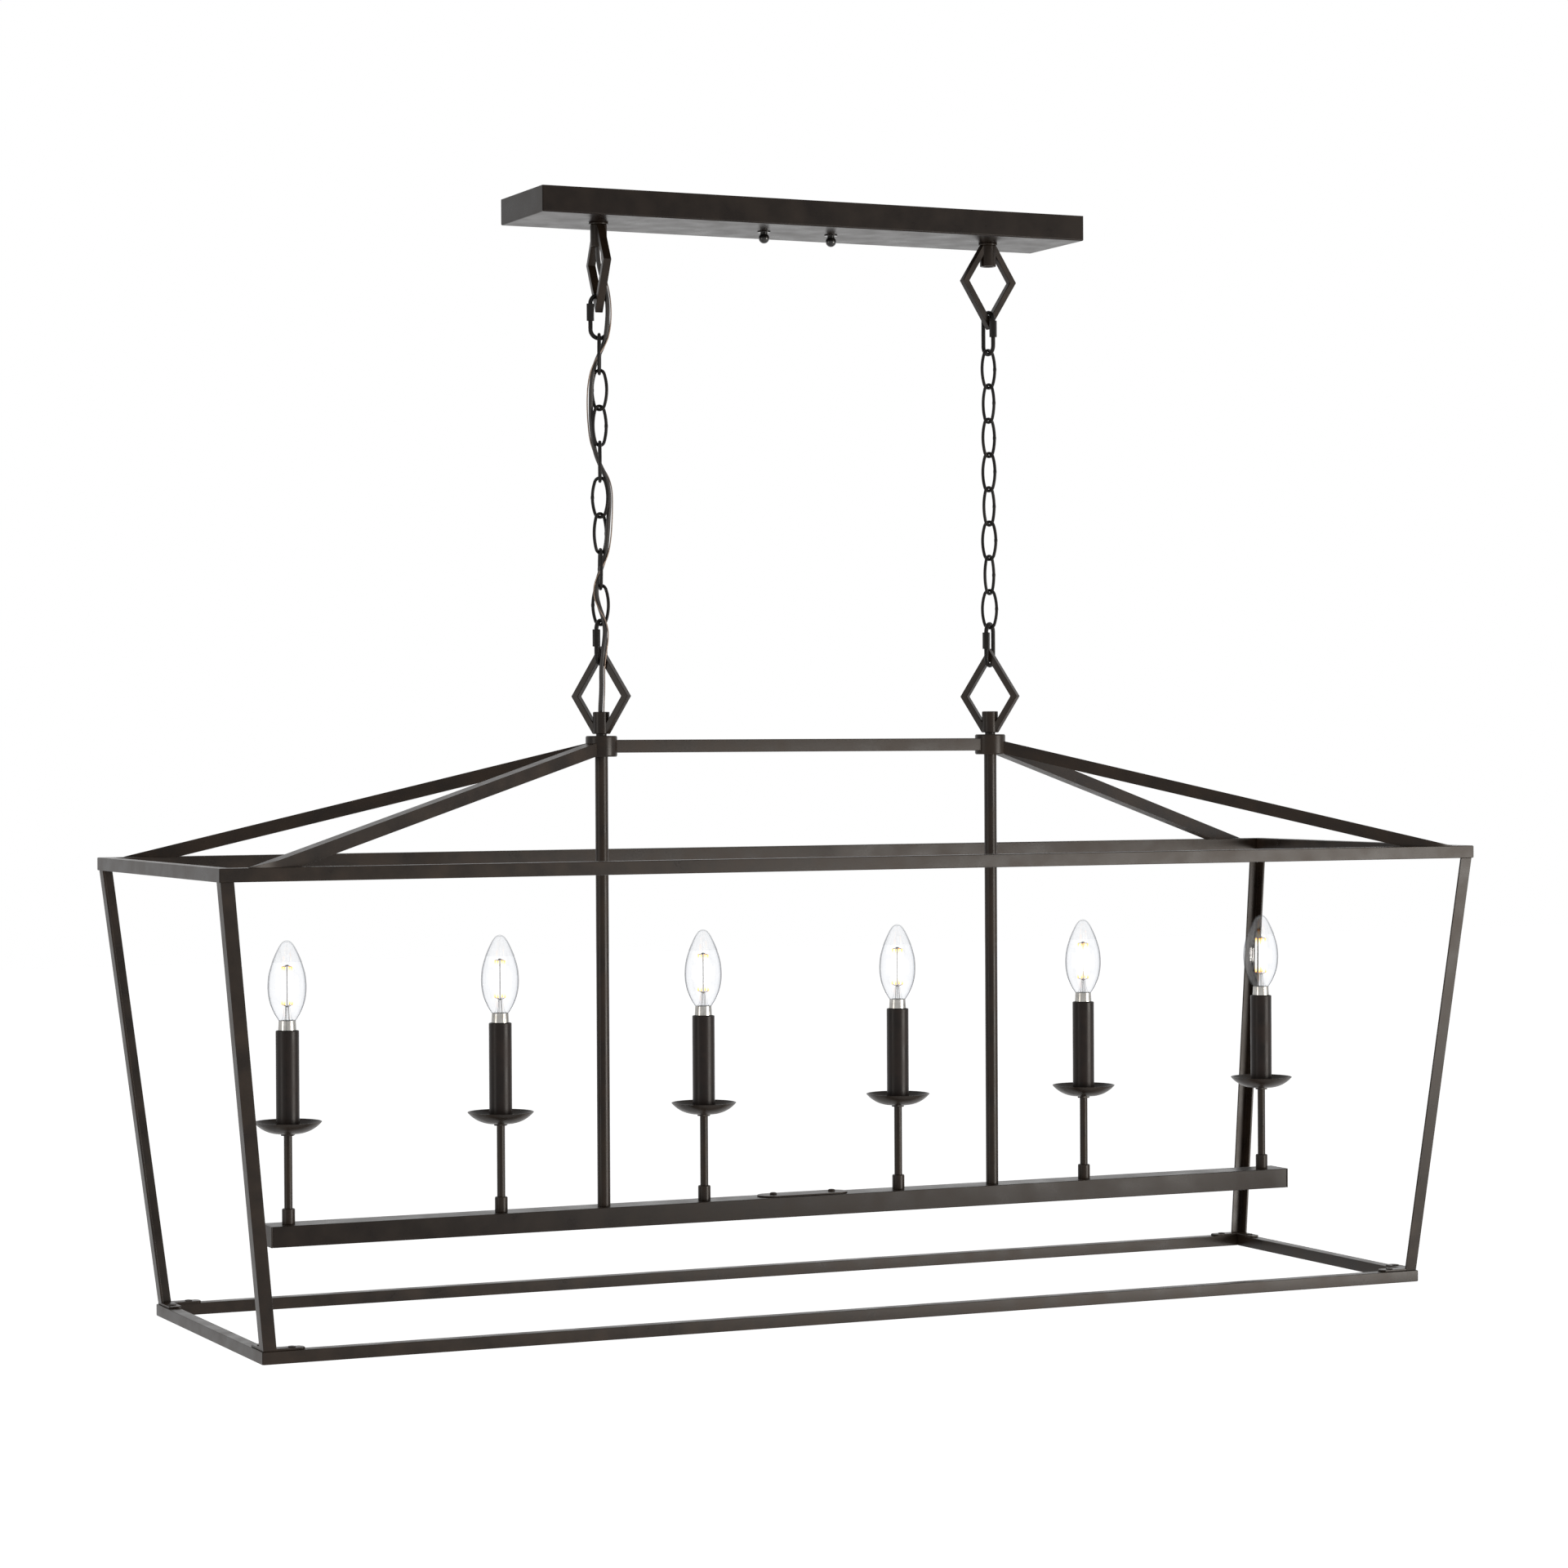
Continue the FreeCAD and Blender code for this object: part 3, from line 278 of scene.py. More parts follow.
def add_node(tree, kind, **values):
    """Add one node; an underscore in an input's name stands for a space."""
    node = tree.nodes.new("ShaderNode" + kind)
    for name, value in values.items():
        node.inputs[name.replace("_", " ")].default_value = value
    return node


def join_up(tree, *links):
    """Link nodes: each link is a node and its output, then a node and its input."""
    for start, output, end, entry in links:
        tree.links.new(start.outputs[output], end.inputs[entry])


def colour_ramp(tree, stops):
    """A colour ramp with these (position, colour) stops, the lowest first."""
    ramp = add_node(tree, "ValToRGB")
    elements = ramp.color_ramp.elements
    for k, (position, colour) in enumerate(stops):
        element = elements[k] if k < 2 else elements.new(position)
        element.position = position
        element.color = (*colour, 1)
    return ramp


def new_material(name):
    """A material with nodes, its node tree and its main shader."""
    made = bpy.data.materials.new(name)
    made.use_nodes = True
    return made, made.node_tree, made.node_tree.nodes["Principled BSDF"]


# %% A shared group for painted and bare surfaces
SOCKETS = (("INPUT", "Color", ("Colour", "Rubbed colour")),
           ("INPUT", "Float", ("Patch scale", "Grain scale", "Smooth", "Rough", "Relief")),
           ("OUTPUT", "Color", ("Colour",)), ("OUTPUT", "Float", ("Roughness",)),
           ("OUTPUT", "Vector", ("Normal",)))
MIX_SHARE, MIX_FIRST, MIX_SECOND, MIX_RESULT = 0, 6, 7, 2


def surface_group():
    """Mottled colour, changing gloss and fine relief, all from the piece's own place."""
    group = bpy.data.node_groups.new("mottled_surface", "ShaderNodeTree")
    for way, kind, names in SOCKETS:
        for name in names:
            group.interface.new_socket(name=name, in_out=way, socket_type="NodeSocket" + kind)
    given = group.nodes.new("NodeGroupInput")
    result = group.nodes.new("NodeGroupOutput")
    place = add_node(group, "TexCoord")
    patches = add_node(group, "TexNoise", Detail=4)
    grain = add_node(group, "TexNoise", Detail=2)
    spread = add_node(group, "MapRange", From_Min=0.35, From_Max=0.7)
    gloss = add_node(group, "MapRange", From_Min=0.3, From_Max=0.7)
    bump = add_node(group, "Bump", Distance=0.0002)
    colour = add_node(group, "Mix")
    colour.data_type = "RGBA"
    join_up(group, (place, "Object", patches, "Vector"), (given, "Patch scale", patches, "Scale"),
            (place, "Object", grain, "Vector"), (given, "Grain scale", grain, "Scale"),
            (patches, "Fac", spread, "Value"), (spread, "Result", colour, MIX_SHARE),
            (given, "Colour", colour, MIX_FIRST), (given, "Rubbed colour", colour, MIX_SECOND),
            (patches, "Fac", gloss, "Value"), (given, "Smooth", gloss, "To Min"),
            (given, "Rough", gloss, "To Max"), (grain, "Fac", bump, "Height"),
            (given, "Relief", bump, "Strength"), (colour, MIX_RESULT, result, "Colour"),
            (gloss, "Result", result, "Roughness"), (bump, "Normal", result, "Normal"))
    return group


MOTTLED = surface_group()

# %% A finish from the shared group


def finish(name, colour, rubbed, smooth, rough, patch=40, grain=1500, relief=0.1, metal=0.0,
           ior=1.45):
    """A material whose mottled colour, gloss and relief come from the shared group."""
    made, tree, shader = new_material(name)
    made.diffuse_color = (*colour, 1)
    shader.inputs["Metallic"].default_value = metal
    shader.inputs["IOR"].default_value = ior
    mottle = tree.nodes.new("ShaderNodeGroup")
    mottle.node_tree = MOTTLED
    for socket, value in (("Colour", (*colour, 1)), ("Rubbed colour", (*rubbed, 1)),
                          ("Patch scale", patch), ("Grain scale", grain), ("Smooth", smooth),
                          ("Rough", rough), ("Relief", relief)):
        mottle.inputs[socket].default_value = value
    join_up(tree, (mottle, "Colour", shader, "Base Color"),
            (mottle, "Roughness", shader, "Roughness"), (mottle, "Normal", shader, "Normal"))
    return made


BRONZE = finish("dark_bronze_paint", (0.012, 0.008, 0.0055), (0.023, 0.0145, 0.009), 0.26, 0.38,
                ior=1.27, relief=0.08)
SHEET_BRONZE = finish("sheet_bronze_paint", (0.009, 0.006, 0.0045), (0.015, 0.010, 0.007), 0.26,
                      0.36, ior=1.22, relief=0.08)
CHAIN_BLACK = finish("chain_black_paint", (0.005, 0.0045, 0.004), (0.010, 0.008, 0.007), 0.28,
                     0.44, patch=160, ior=1.24)
CANDLE_BROWN = finish("candle_sleeve_paint", (0.008, 0.0055, 0.0045), (0.016, 0.010, 0.0078), 0.30,
                      0.42, patch=60, ior=1.26, relief=0.12)
BALL_BLACK = finish("ball_nut_gloss", (0.005, 0.0045, 0.004), (0.009, 0.008, 0.007), 0.12, 0.22,
                    patch=200, ior=1.45, relief=0.03)
STEEL = finish("zinc_plated_steel", (0.52, 0.53, 0.54), (0.40, 0.41, 0.43), 0.28, 0.45, patch=90,
               metal=1.0, relief=0.15)
LEAD_WIRE = finish("bulb_lead_wire", (0.16, 0.155, 0.15), (0.10, 0.10, 0.10), 0.25, 0.4, patch=300,
                   metal=1.0, relief=0.05)
SOCKET_BLACK = finish("socket_black_plastic", (0.012, 0.012, 0.012), (0.02, 0.02, 0.02), 0.35,
                      0.5, patch=80)
CORD_BROWN = finish("cord_dark_plastic", (0.010, 0.008, 0.007), (0.02, 0.015, 0.012), 0.35, 0.5,
                    patch=250, grain=2500)
COPPER = finish("bare_copper_wire", (0.22, 0.165, 0.13), (0.13, 0.10, 0.08), 0.3, 0.5, patch=200,
                metal=1.0)
CONNECTOR = finish("wire_connector_plastic", (0.75, 0.24, 0.03), (0.6, 0.18, 0.03), 0.3, 0.45,
                   patch=120)

# %% [markdown]
# ## Clear glass and glowing filaments
# The bulb's glass is thin, clear and almost invisible against a pale wall: only its edge, where
# the sight line runs along the glass, is grey, and that grey is painted shade in its see-through
# colour. Inside stand four yellow filament sticks, so bright in the middle that they look white.
# Their glow fades to amber at both ends.
# %% Glass and filament


# Painted shade: the see-through colour of the glass, from facing the viewer to edge-on.
GLASS_EDGE_SHADE_STOPS = ((0, (0.988, 0.990, 0.994)), (0.45, (0.978, 0.981, 0.986)),
               (0.66, (0.92, 0.925, 0.935)), (0.80, (0.66, 0.665, 0.675)),
               (1, (0.36, 0.365, 0.375)))
GLASS_SHEEN = 0.035
AMBER = (0.9, 0.30, 0.03)
YELLOW = (1, 0.78, 0.38)
WHITE_HOT = (1, 1, 0.96)
GLOW_STOPS = ((0, AMBER), (0.12, YELLOW), (0.22, WHITE_HOT), (0.78, WHITE_HOT), (0.88, YELLOW),
              (1, AMBER))
GLOW = 2.2


def glass_finish():
    """Clear thin glass: see-through facing the viewer, with painted shade greying its edge."""
    made, tree, shader = new_material("clear_bulb_glass")
    tree.nodes.remove(shader)
    # The see-through colour darkens to grey where the glass turns edge-on: painted shade.
    slant = add_node(tree, "LayerWeight", Blend=0.5)
    painted_edge_shade = colour_ramp(tree, GLASS_EDGE_SHADE_STOPS)
    place = add_node(tree, "TexCoord")
    smears = add_node(tree, "TexNoise", Scale=70)
    gloss = add_node(tree, "MapRange", To_Min=0.03, To_Max=0.12)
    seen_through = add_node(tree, "BsdfTransparent")
    sheen = add_node(tree, "BsdfGlossy")
    both = add_node(tree, "MixShader", Fac=GLASS_SHEEN)
    join_up(tree, (slant, "Facing", painted_edge_shade, "Fac"), (painted_edge_shade, "Color", seen_through, "Color"),
            (place, "Object", smears, "Vector"), (smears, "Fac", gloss, "Value"),
            (gloss, "Result", sheen, "Roughness"), (seen_through, "BSDF", both, 1),
            (sheen, "BSDF", both, 2), (both, "Shader", tree.nodes["Material Output"], "Surface"))
    return made


def glow_finish(low, high):
    """Yellow phosphor that glows white in the middle and amber at both ends, in metres."""
    made, tree, shader = new_material("filament_glow")
    shader.inputs["Roughness"].default_value = 0.5
    shader.inputs["Emission Strength"].default_value = GLOW
    place = add_node(tree, "TexCoord")
    parts = add_node(tree, "SeparateXYZ")
    height = add_node(tree, "MapRange", From_Min=low, From_Max=high)
    ramp = colour_ramp(tree, GLOW_STOPS)
    join_up(tree, (place, "Object", parts, "Vector"), (parts, "Z", height, "Value"),
            (height, "Result", ramp, "Fac"), (ramp, "Color", shader, "Emission Color"),
            (ramp, "Color", shader, "Base Color"))
    return made


GLASS_WALL = 0.7
GLASS_HEIGHT = 71.6
FILAMENT_FOOT = 14.0
FILAMENT_LENGTH = 34.0
glass_low = span("bulb_1_glass")[0].z
GLASS = glass_finish()
NICKEL = finish("bulb_base_nickel", (0.42, 0.41, 0.39), (0.30, 0.29, 0.27), 0.14, 0.26, patch=150,
                metal=1.0, relief=0.03)
FILAMENT = glow_finish((glass_low + FILAMENT_FOOT) * MM,
                       (glass_low + FILAMENT_FOOT + FILAMENT_LENGTH) * MM)

# %% [markdown]
# ## Ways of making a piece
# Most of the lamp is turned, folded or cut from bar, and a few short helpers follow those trades.
# An outline is drawn by extruding one vertex from point to point. Spinning it makes a turned
# piece, and pulling its filled face makes a length of bar or sheet. All sizes are millimetres.
# %% Outlines, turned pieces and bars
SHARP = ((0, 0),)
MERGE = 0.002


def outline(name, points):
    """A chain of edges, extruded one vertex at a time. It is left in edit mode."""
    bpy.ops.mesh.primitive_plane_add(size=MM)
    piece = bpy.context.object
    piece.name = name
    mode("EDIT")
    bpy.ops.mesh.select_mode(type="VERT")
    bpy.ops.mesh.merge(type="CENTER")
    corners = [Vector(point) * MM for point in points]
    bpy.ops.transform.translate(value=corners[0])
    for before, after in zip(corners, corners[1:]):
        bpy.ops.mesh.extrude_vertices_move(TRANSFORM_OT_translate={"value": after - before})
    bpy.ops.mesh.select_all(action="SELECT")
    return piece


def lathe(name, profile, x=0.0, low=0.0, steps=48):
    """Spin an outline of (radius, height) points round an upright axis at x."""
    piece = outline(name, [(x + radius, 0, low + height) for radius, height in profile])
    bpy.ops.mesh.spin(steps=steps, angle=2 * math.pi, center=(x * MM, 0, 0), axis=(0, 0, 1))
    bpy.ops.mesh.select_all(action="SELECT")
    bpy.ops.mesh.remove_doubles(threshold=MERGE * MM)
    face_out()
    return piece


def pipe(name, inner, outer, x, low, high, rims=(SHARP, SHARP), steps=48):
    """A turned pipe. A rim is a list of points, in from the outside and in from the end."""
    tall = high - low
    shape = [(inner, 0)] + [(outer - a, b) for a, b in rims[0]]
    shape += [(outer - a, tall - b) for a, b in reversed(rims[1])] + [(inner, tall), (inner, 0)]
    return lathe(name, shape, x, low, steps)


def bar(name, corners, sweep, edge=0.0):
    """Pull a filled outline along a direction, and round its edges by a bevel."""
    piece = outline(name, corners)
    bpy.ops.mesh.edge_face_add()
    bpy.ops.mesh.extrude_region_move(TRANSFORM_OT_translate={"value": Vector(sweep) * MM})
    face_out()
    if edge:
        soften(piece, edge)
    return piece


def soften(piece, width, segments=2):
    """Round every corner sharper than 30 degrees."""
    modify(piece, "BEVEL", width=width * MM, segments=segments)


def round_corner(r, h, radius, steps, start, end):
    """Points of an arc about (r, h), from one angle to another, in degrees."""
    turns = [math.radians(start + (end - start) * k / steps) for k in range(steps + 1)]
    return [(r + radius * math.cos(a), h + radius * math.sin(a)) for a in turns]


# %% Copies, cuts and joins


def again(piece, name, move=(0, 0, 0), turn=0.0):
    """A copy with its own mesh, turned about the upright axis and then moved."""
    only(piece)
    bpy.ops.object.duplicate(linked=False)
    twin = bpy.context.object
    twin.rotation_euler.z = math.radians(turn)
    twin.location = Vector(move) * MM
    return settle(name)


def joined(name, pieces):
    """One piece made of several."""
    only(*pieces)
    if len(pieces) > 1:
        bpy.ops.object.join()
    pieces[0].name = name
    return pieces[0]


def cut_away(piece, tool):
    """Cut the tool's shape out of the piece, and put the tool away."""
    modify(piece, "BOOLEAN", operation="DIFFERENCE", object=tool)
    take_away(tool)


def keep_side(piece, at, normal):
    """Saw the piece through a plane and drop what lies beyond it."""
    only(piece)
    mode("EDIT")
    bpy.ops.mesh.select_all(action="SELECT")
    bpy.ops.mesh.bisect(plane_co=Vector(at) * MM, plane_no=normal, use_fill=True,
                        clear_outer=True)
    mode("OBJECT")


def pick(piece, wanted, kind="VERT"):
    """Enter edit mode with the wanted vertices, or faces, selected."""
    only(piece)
    mode("EDIT")
    bpy.ops.mesh.select_mode(type=kind)
    bpy.ops.mesh.select_all(action="DESELECT")
    mode("OBJECT")
    for item in piece.data.vertices if kind == "VERT" else piece.data.polygons:
        item.select = wanted(item)
    mode("EDIT")


def dress(piece, body, material, slot, *nodes, smooth=38):
    """Smooth the piece, give it its finish and let it stand for the solids it replaces."""
    only(piece)
    bpy.ops.object.shade_smooth_by_angle(angle=math.radians(smooth))
    modify(piece, "WEIGHTED_NORMAL", keep_sharp=True)
    if material:
        paint(piece, material)
    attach(piece, body)
    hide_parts(*nodes)
    print(f"{piece.name}: {len(piece.data.polygons)} faces on {body}")


def steelwork(name, node, *pieces):
    """Join pieces of the lantern's bronze steel and dress them as one."""
    dress(joined(name, list(pieces)), "lantern", BRONZE, "bronze", node)


# %% Give the cord and the wire their finish
for lengths, material, slot, node in ((cord_lengths, CORD_BROWN, "cord", "supply_cord"),
                                      (wire_lengths, COPPER, "copper", "ground_wire")):
    for part, (above, below, start, end) in zip(lengths, BENDS):
        paint(part, material)
        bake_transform(part)
        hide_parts(node)

# %% [markdown]
# ## The canopy
# The canopy is a folded steel pan that hides the wiring. A cube with its top face deleted has
# the pan's shape. A bevel rounds the folds, and Solidify gives the sheet its thickness inward.
# %% The canopy pan
SHEET = 1.5
FOLD = 1.4
pan_low, pan_high = span("canopy_pan")
bpy.ops.mesh.primitive_cube_add(size=MM, location=(pan_low + pan_high) / 2 * MM,
                                scale=pan_high - pan_low)
pan = settle("folded_canopy_pan")
pick(pan, lambda corner: corner.co.z > (pan_high.z - SHEET) * MM)
bpy.ops.mesh.delete(type="ONLY_FACE")
mode("OBJECT")
soften(pan, FOLD, 4)
modify(pan, "SOLIDIFY", thickness=SHEET * MM, offset=-1)
dress(pan, "ceiling_mount", SHEET_BRONZE, "bronze", "canopy_pan")

# %% [markdown]
# Two ball nuts hold the canopy against the ceiling. Each is turned: a thin washer, a short neck
# and a polished ball.
# %% The ball nuts
BALL_R = 5.0
BALL_STEPS = 14
NECK_R = 3.4
NECK_END = -2.6
ball_middle = NECK_END - math.sqrt(BALL_R ** 2 - NECK_R ** 2)
neck_angle = math.degrees(math.acos(NECK_R / BALL_R))
STUD_SPACING = 69.85
BALL_WASHER = [(2.3, 0), (6.0, 0), (6.2, -0.2), (6.2, -0.8), (6.0, -1.0), (3.6, -1.0)]
ball_outline = BALL_WASHER + [(NECK_R, -1.2), (NECK_R, NECK_END)]
ball_outline += round_corner(0, ball_middle, BALL_R, BALL_STEPS, neck_angle, -90)[1:]
balls = [lathe("ball", ball_outline, side * STUD_SPACING / 2, pan_low.z) for side in SIDES]
dress(joined("canopy_ball_nuts", balls), "ceiling_mount", BALL_BLACK, "bronze", "ball_nuts")

# %% [markdown]
# ## Nipples, nuts and washers
# Threaded nipples go through the canopy into the upper loops. A washer with a rounded edge lies
# under the canopy, and a hexagon nut sits inside it.
# %% Washers and nuts of the loops
NIPPLE_HOLE = 5.15
WASHER_R = 9.0
WASHER = 2.0
NIPPLE_NUT_ACROSS = 16.0
NIPPLE_NUT = 3.0
NUT_CHAMFER = 0.4
WASHER_RIM = ((0.5, 0), (0.15, 0.15), (0, 0.5))
HANGER = HANGER_X / MM


def hex_nut(name, x, low, across, height, hole):
    """A hexagon nut with chamfered edges and a round hole."""
    middle = (x * MM, 0, (low + height / 2) * MM)
    bpy.ops.mesh.primitive_cylinder_add(vertices=6, radius=across / math.sqrt(3) * MM,
                                        depth=height * MM, rotation=(0, 0, math.radians(30)),
                                        location=middle)
    nut = settle(name)
    soften(nut, NUT_CHAMFER)
    bpy.ops.mesh.primitive_cylinder_add(vertices=32, radius=hole * MM, depth=3 * height * MM,
                                        location=middle)
    cut_away(nut, settle("drill"))
    return nut


loop_washers = [pipe("washer", NIPPLE_HOLE, WASHER_R, side * HANGER, pan_low.z - WASHER, pan_low.z,
                     (WASHER_RIM, WASHER_RIM)) for side in SIDES]
loop_washers += [hex_nut("nut", side * HANGER, pan_low.z + SHEET, NIPPLE_NUT_ACROSS, NIPPLE_NUT,
                         NIPPLE_HOLE) for side in SIDES]
dress(joined("loop_washers_and_nuts", loop_washers), "ceiling_mount", BRONZE, "bronze",
      "nipple_nuts_and_washers")

# %% [markdown]
# ## Diamond loops
# A diamond of flat bar hangs under each washer, and another stands on each hub. The diamond is a
# four-sided prism whose two faces are inset by the bar's width, with the middle taken out and
# the two openings bridged. One corner is sawn off, and the sleeve stands in the gap.
# %% One diamond loop
LOOP_HALF_WIDTH = 30.0
LOOP_HALF_HEIGHT = 46.5
LOOP_CUT = 35.0
LOOP_BAR = 6.0
LOOP_DEPTH = 7.4
LOOP_EDGE = 0.6
SLEEVE_R = 7.75
SLEEVE_LENGTH = 20.5
SLEEVE_RIM = ((0.5, 0), (0, 0.5))


def diamond(name):
    """A diamond loop about the origin, sleeve on top, seen along Y."""
    corners = [(LOOP_HALF_WIDTH, 0, 0), (0, 0, LOOP_HALF_HEIGHT), (-LOOP_HALF_WIDTH, 0, 0),
               (0, 0, -LOOP_HALF_HEIGHT)]
    corners = [(x, -LOOP_DEPTH / 2, z) for x, y, z in corners]
    loop = bar(name, corners, (0, LOOP_DEPTH, 0))
    pick(loop, lambda face: abs(face.normal.y) > 0.9, "FACE")
    bpy.ops.mesh.inset(thickness=LOOP_BAR * MM, use_even_offset=True)
    bpy.ops.mesh.bridge_edge_loops()
    face_out()
    keep_side(loop, (0, 0, LOOP_CUT), (0, 0, 1))
    soften(loop, LOOP_EDGE)
    sleeve = pipe("sleeve", NIPPLE_HOLE, SLEEVE_R, 0, LOOP_CUT - SLEEVE_LENGTH, LOOP_CUT,
                  (SLEEVE_RIM, SLEEVE_RIM))
    return joined(name, [loop, sleeve])


def flip_and_turn(piece, x, end, sense, turn):
    """Put a loop's sawn end at a height; sense is -1 where its sleeve points down."""
    only(piece)
    piece.rotation_euler = (0 if sense > 0 else math.pi, 0, math.radians(turn))
    piece.location = Vector((x, 0, end - sense * LOOP_CUT)) * MM
    settle(piece.name)


for node, body, side, sense, turn in (
        ("upper_loop_left", "ceiling_mount", -1, 1, 84.0),
        ("upper_loop_right", "ceiling_mount", 1, 1, 4.0),
        ("lower_loop_left", "lantern", -1, -1, -51.3),
        ("lower_loop_right", "lantern", 1, -1, -51.3)):
    loop = diamond(node + "_diamond")
    low, high = span(node)
    flip_and_turn(loop, side * HANGER, high.z if sense > 0 else low.z, sense, turn)
    dress(loop, body, BRONZE, "bronze", node)

# %% [markdown]
# ## Chain links
# A chain link is a closed round wire with bowed legs: two shallow arcs for the legs and two
# tight arcs for the ends. The wire is a bevelled line, made a mesh. A real link is welded in
# one leg, so a short length there is cut off by bisections and made a little thicker.
# %% A bowed wire link
ARC_STEPS = 16


def bowed_link(name, spacing, length, end_r, radius):
    """A closed wire of four arcs in the XZ plane; the sizes are those of the wire's middle."""
    waist = spacing / 2
    end_level = length / 2 - end_r
    side_r = (waist ** 2 + end_level ** 2 - end_r ** 2) / (2 * (waist - end_r))
    swing = math.degrees(math.atan2(end_level, side_r - waist))
    half = round_corner(waist - side_r, 0, side_r, ARC_STEPS, -swing, swing)[:-1]
    half += round_corner(0, end_level, end_r, ARC_STEPS, swing, 180 - swing)[:-1]
    loop = half + [(-x, -z) for x, z in half]
    return round_wire(name, [(x * MM, 0, z * MM) for x, z in loop], radius * MM, closed=True)


def saw_leg(ring, heights):
    """Cut rings of edges across both legs at these heights."""
    for height in heights:
        only(ring)
        mode("EDIT")
        bpy.ops.mesh.select_all(action="SELECT")
        bpy.ops.mesh.bisect(plane_co=(0, 0, height * MM), plane_no=(0, 0, 1))
        mode("OBJECT")


# %% [markdown]
# Eight links hang in each other, each turned as it hangs in the photograph.
# %% The two chains
CHAIN_WIRE = 1.5
CHAIN_SPACING = 15.3
CHAIN_END_R = 5.5
CHAIN_INNER = 33.5
CHAIN_PLAY = 0.3
WELD = 1.8
WELD_GIRTH = 1.13
LEFT_TURNS = (65.2, 129.2, 15.2, 70.2, 135.2, 21.2, 75.2, 138.2)
RIGHT_TURNS = (9.2, -74.8, 15.5, -67.8, 21.9, -60.8, 28.2, -53.8)
chain_half = CHAIN_INNER / 2 + CHAIN_WIRE
chain_step = 2 * chain_half - 2 * CHAIN_WIRE - CHAIN_PLAY
link = bowed_link("link", CHAIN_SPACING, 2 * chain_half, CHAIN_END_R, CHAIN_WIRE)
saw_leg(link, (-WELD, -WELD / 2, WELD / 2, WELD))
pick(link, lambda corner: corner.co.x > 0 and abs(corner.co.z) < WELD * 0.75 * MM)
bpy.ops.transform.resize(value=(WELD_GIRTH, WELD_GIRTH, 1),
                         center_override=(CHAIN_SPACING / 2 * MM, 0, 0))
mode("OBJECT")
for node, x, turns in (("chain_left", -HANGER, LEFT_TURNS), ("chain_right", HANGER, RIGHT_TURNS)):
    body = "left_chain" if x < 0 else "right_chain"
    top = span(node)[1].z - CHAIN_WIRE - chain_half
    links = [again(link, f"{node}_link_{k}", (x, 0, top - k * chain_step), turn)
             for k, turn in enumerate(turns)]
    dress(joined(node + "_links", links), body, CHAIN_BLACK, "chain", node, smooth=50)
take_away(link)

# %% [markdown]
# ## Quick links
# A quick link is a heavier ring with straight legs: a torus whose upper half is moved up and
# whose lower half is moved down. It has a gap in one leg. A long hexagon nut runs down the
# threaded leg to open the gap, so the leg under the nut carries a thread: a stack of thin rings.
# %% A long wire ring


def wire_oval(name, spacing, length, radius, around, section):
    """A long ring of round wire in the XZ plane; the sizes are those of the wire's middle."""
    bpy.ops.mesh.primitive_torus_add(major_radius=spacing / 2 * MM, minor_radius=radius * MM,
                                     major_segments=around, minor_segments=section,
                                     rotation=(math.pi / 2, 0, 0))
    ring = settle(name)
    straight = (length - spacing) / 2
    for sense in SIDES:
        pick(ring, lambda corner: corner.co.z * sense > 0.05 * MM)
        bpy.ops.transform.translate(value=(0, 0, sense * straight * MM))
        mode("OBJECT")
    return ring


# %% Four quick links and their nuts
QUICK_WIRE = 2.0
QUICK_SPACING = 16.6
QUICK_INNER = 36.2
MOUTH = 6.2
STUB = 1.1
NUT_LENGTH = 16.0
NUT_ACROSS = 6.4
NUT_HOLE = 2.3
THREAD_PITCH = 0.9
THREAD_COUNT = 9
THREAD_DEPTH = 0.1
THREAD_ROUND = 0.24
quick_half = QUICK_INNER / 2 + QUICK_WIRE
leg_top = quick_half - QUICK_SPACING / 2
leg_x = -QUICK_SPACING / 2
mouth_top = leg_top - STUB
mouth_low = mouth_top - MOUTH
nut_low = leg_top - NUT_LENGTH


def gapped_ring():
    """A quick link about the origin, with its gap on the -X leg."""
    ring = wire_oval("quick", QUICK_SPACING, 2 * quick_half, QUICK_WIRE, 56, 18)
    saw_leg(ring, (mouth_low, mouth_top))
    pick(ring, lambda face: face.center.x < 0 and mouth_low * MM < face.center.z < mouth_top * MM,
         "FACE")
    bpy.ops.mesh.delete(type="FACE")
    bpy.ops.mesh.select_mode(type="VERT")
    bpy.ops.mesh.select_all(action="SELECT")
    bpy.ops.mesh.fill_holes(sides=0)
    face_out()
    threads = []
    for k in range(THREAD_COUNT):
        height = nut_low - THREAD_PITCH * (k - 1)
        bpy.ops.mesh.primitive_torus_add(major_radius=(QUICK_WIRE - THREAD_DEPTH) * MM,
                                         minor_radius=THREAD_ROUND * MM, major_segments=24,
                                         minor_segments=6,
                                         location=(leg_x * MM, 0, height * MM))
        threads.append(settle("thread"))
    return joined("quick", [ring] + threads)


quick = gapped_ring()
quick_nut = hex_nut("quick_nut", leg_x, nut_low, NUT_ACROSS, NUT_LENGTH, NUT_HOLE)
for place, body, side, turn in (("upper_left", "upper_left_link", -1, -5.8),
                                ("upper_right", "upper_right_link", 1, 97.0),
                                ("lower_left", "lower_left_link", -1, 38.6),
                                ("lower_right", "lower_right_link", 1, 38.7)):
    middle = span("quick_link_" + place)[1].z - QUICK_WIRE - quick_half
    spot = (side * HANGER, 0, middle)
    dress(again(quick, "ring_" + place, spot, turn), body, CHAIN_BLACK, "chain",
          "quick_link_" + place, smooth=50)
    dress(again(quick_nut, "ring_nut_" + place, spot, turn), body + "_nut", CHAIN_BLACK, "chain",
          "quick_link_nut_" + place)
take_away(quick, quick_nut)

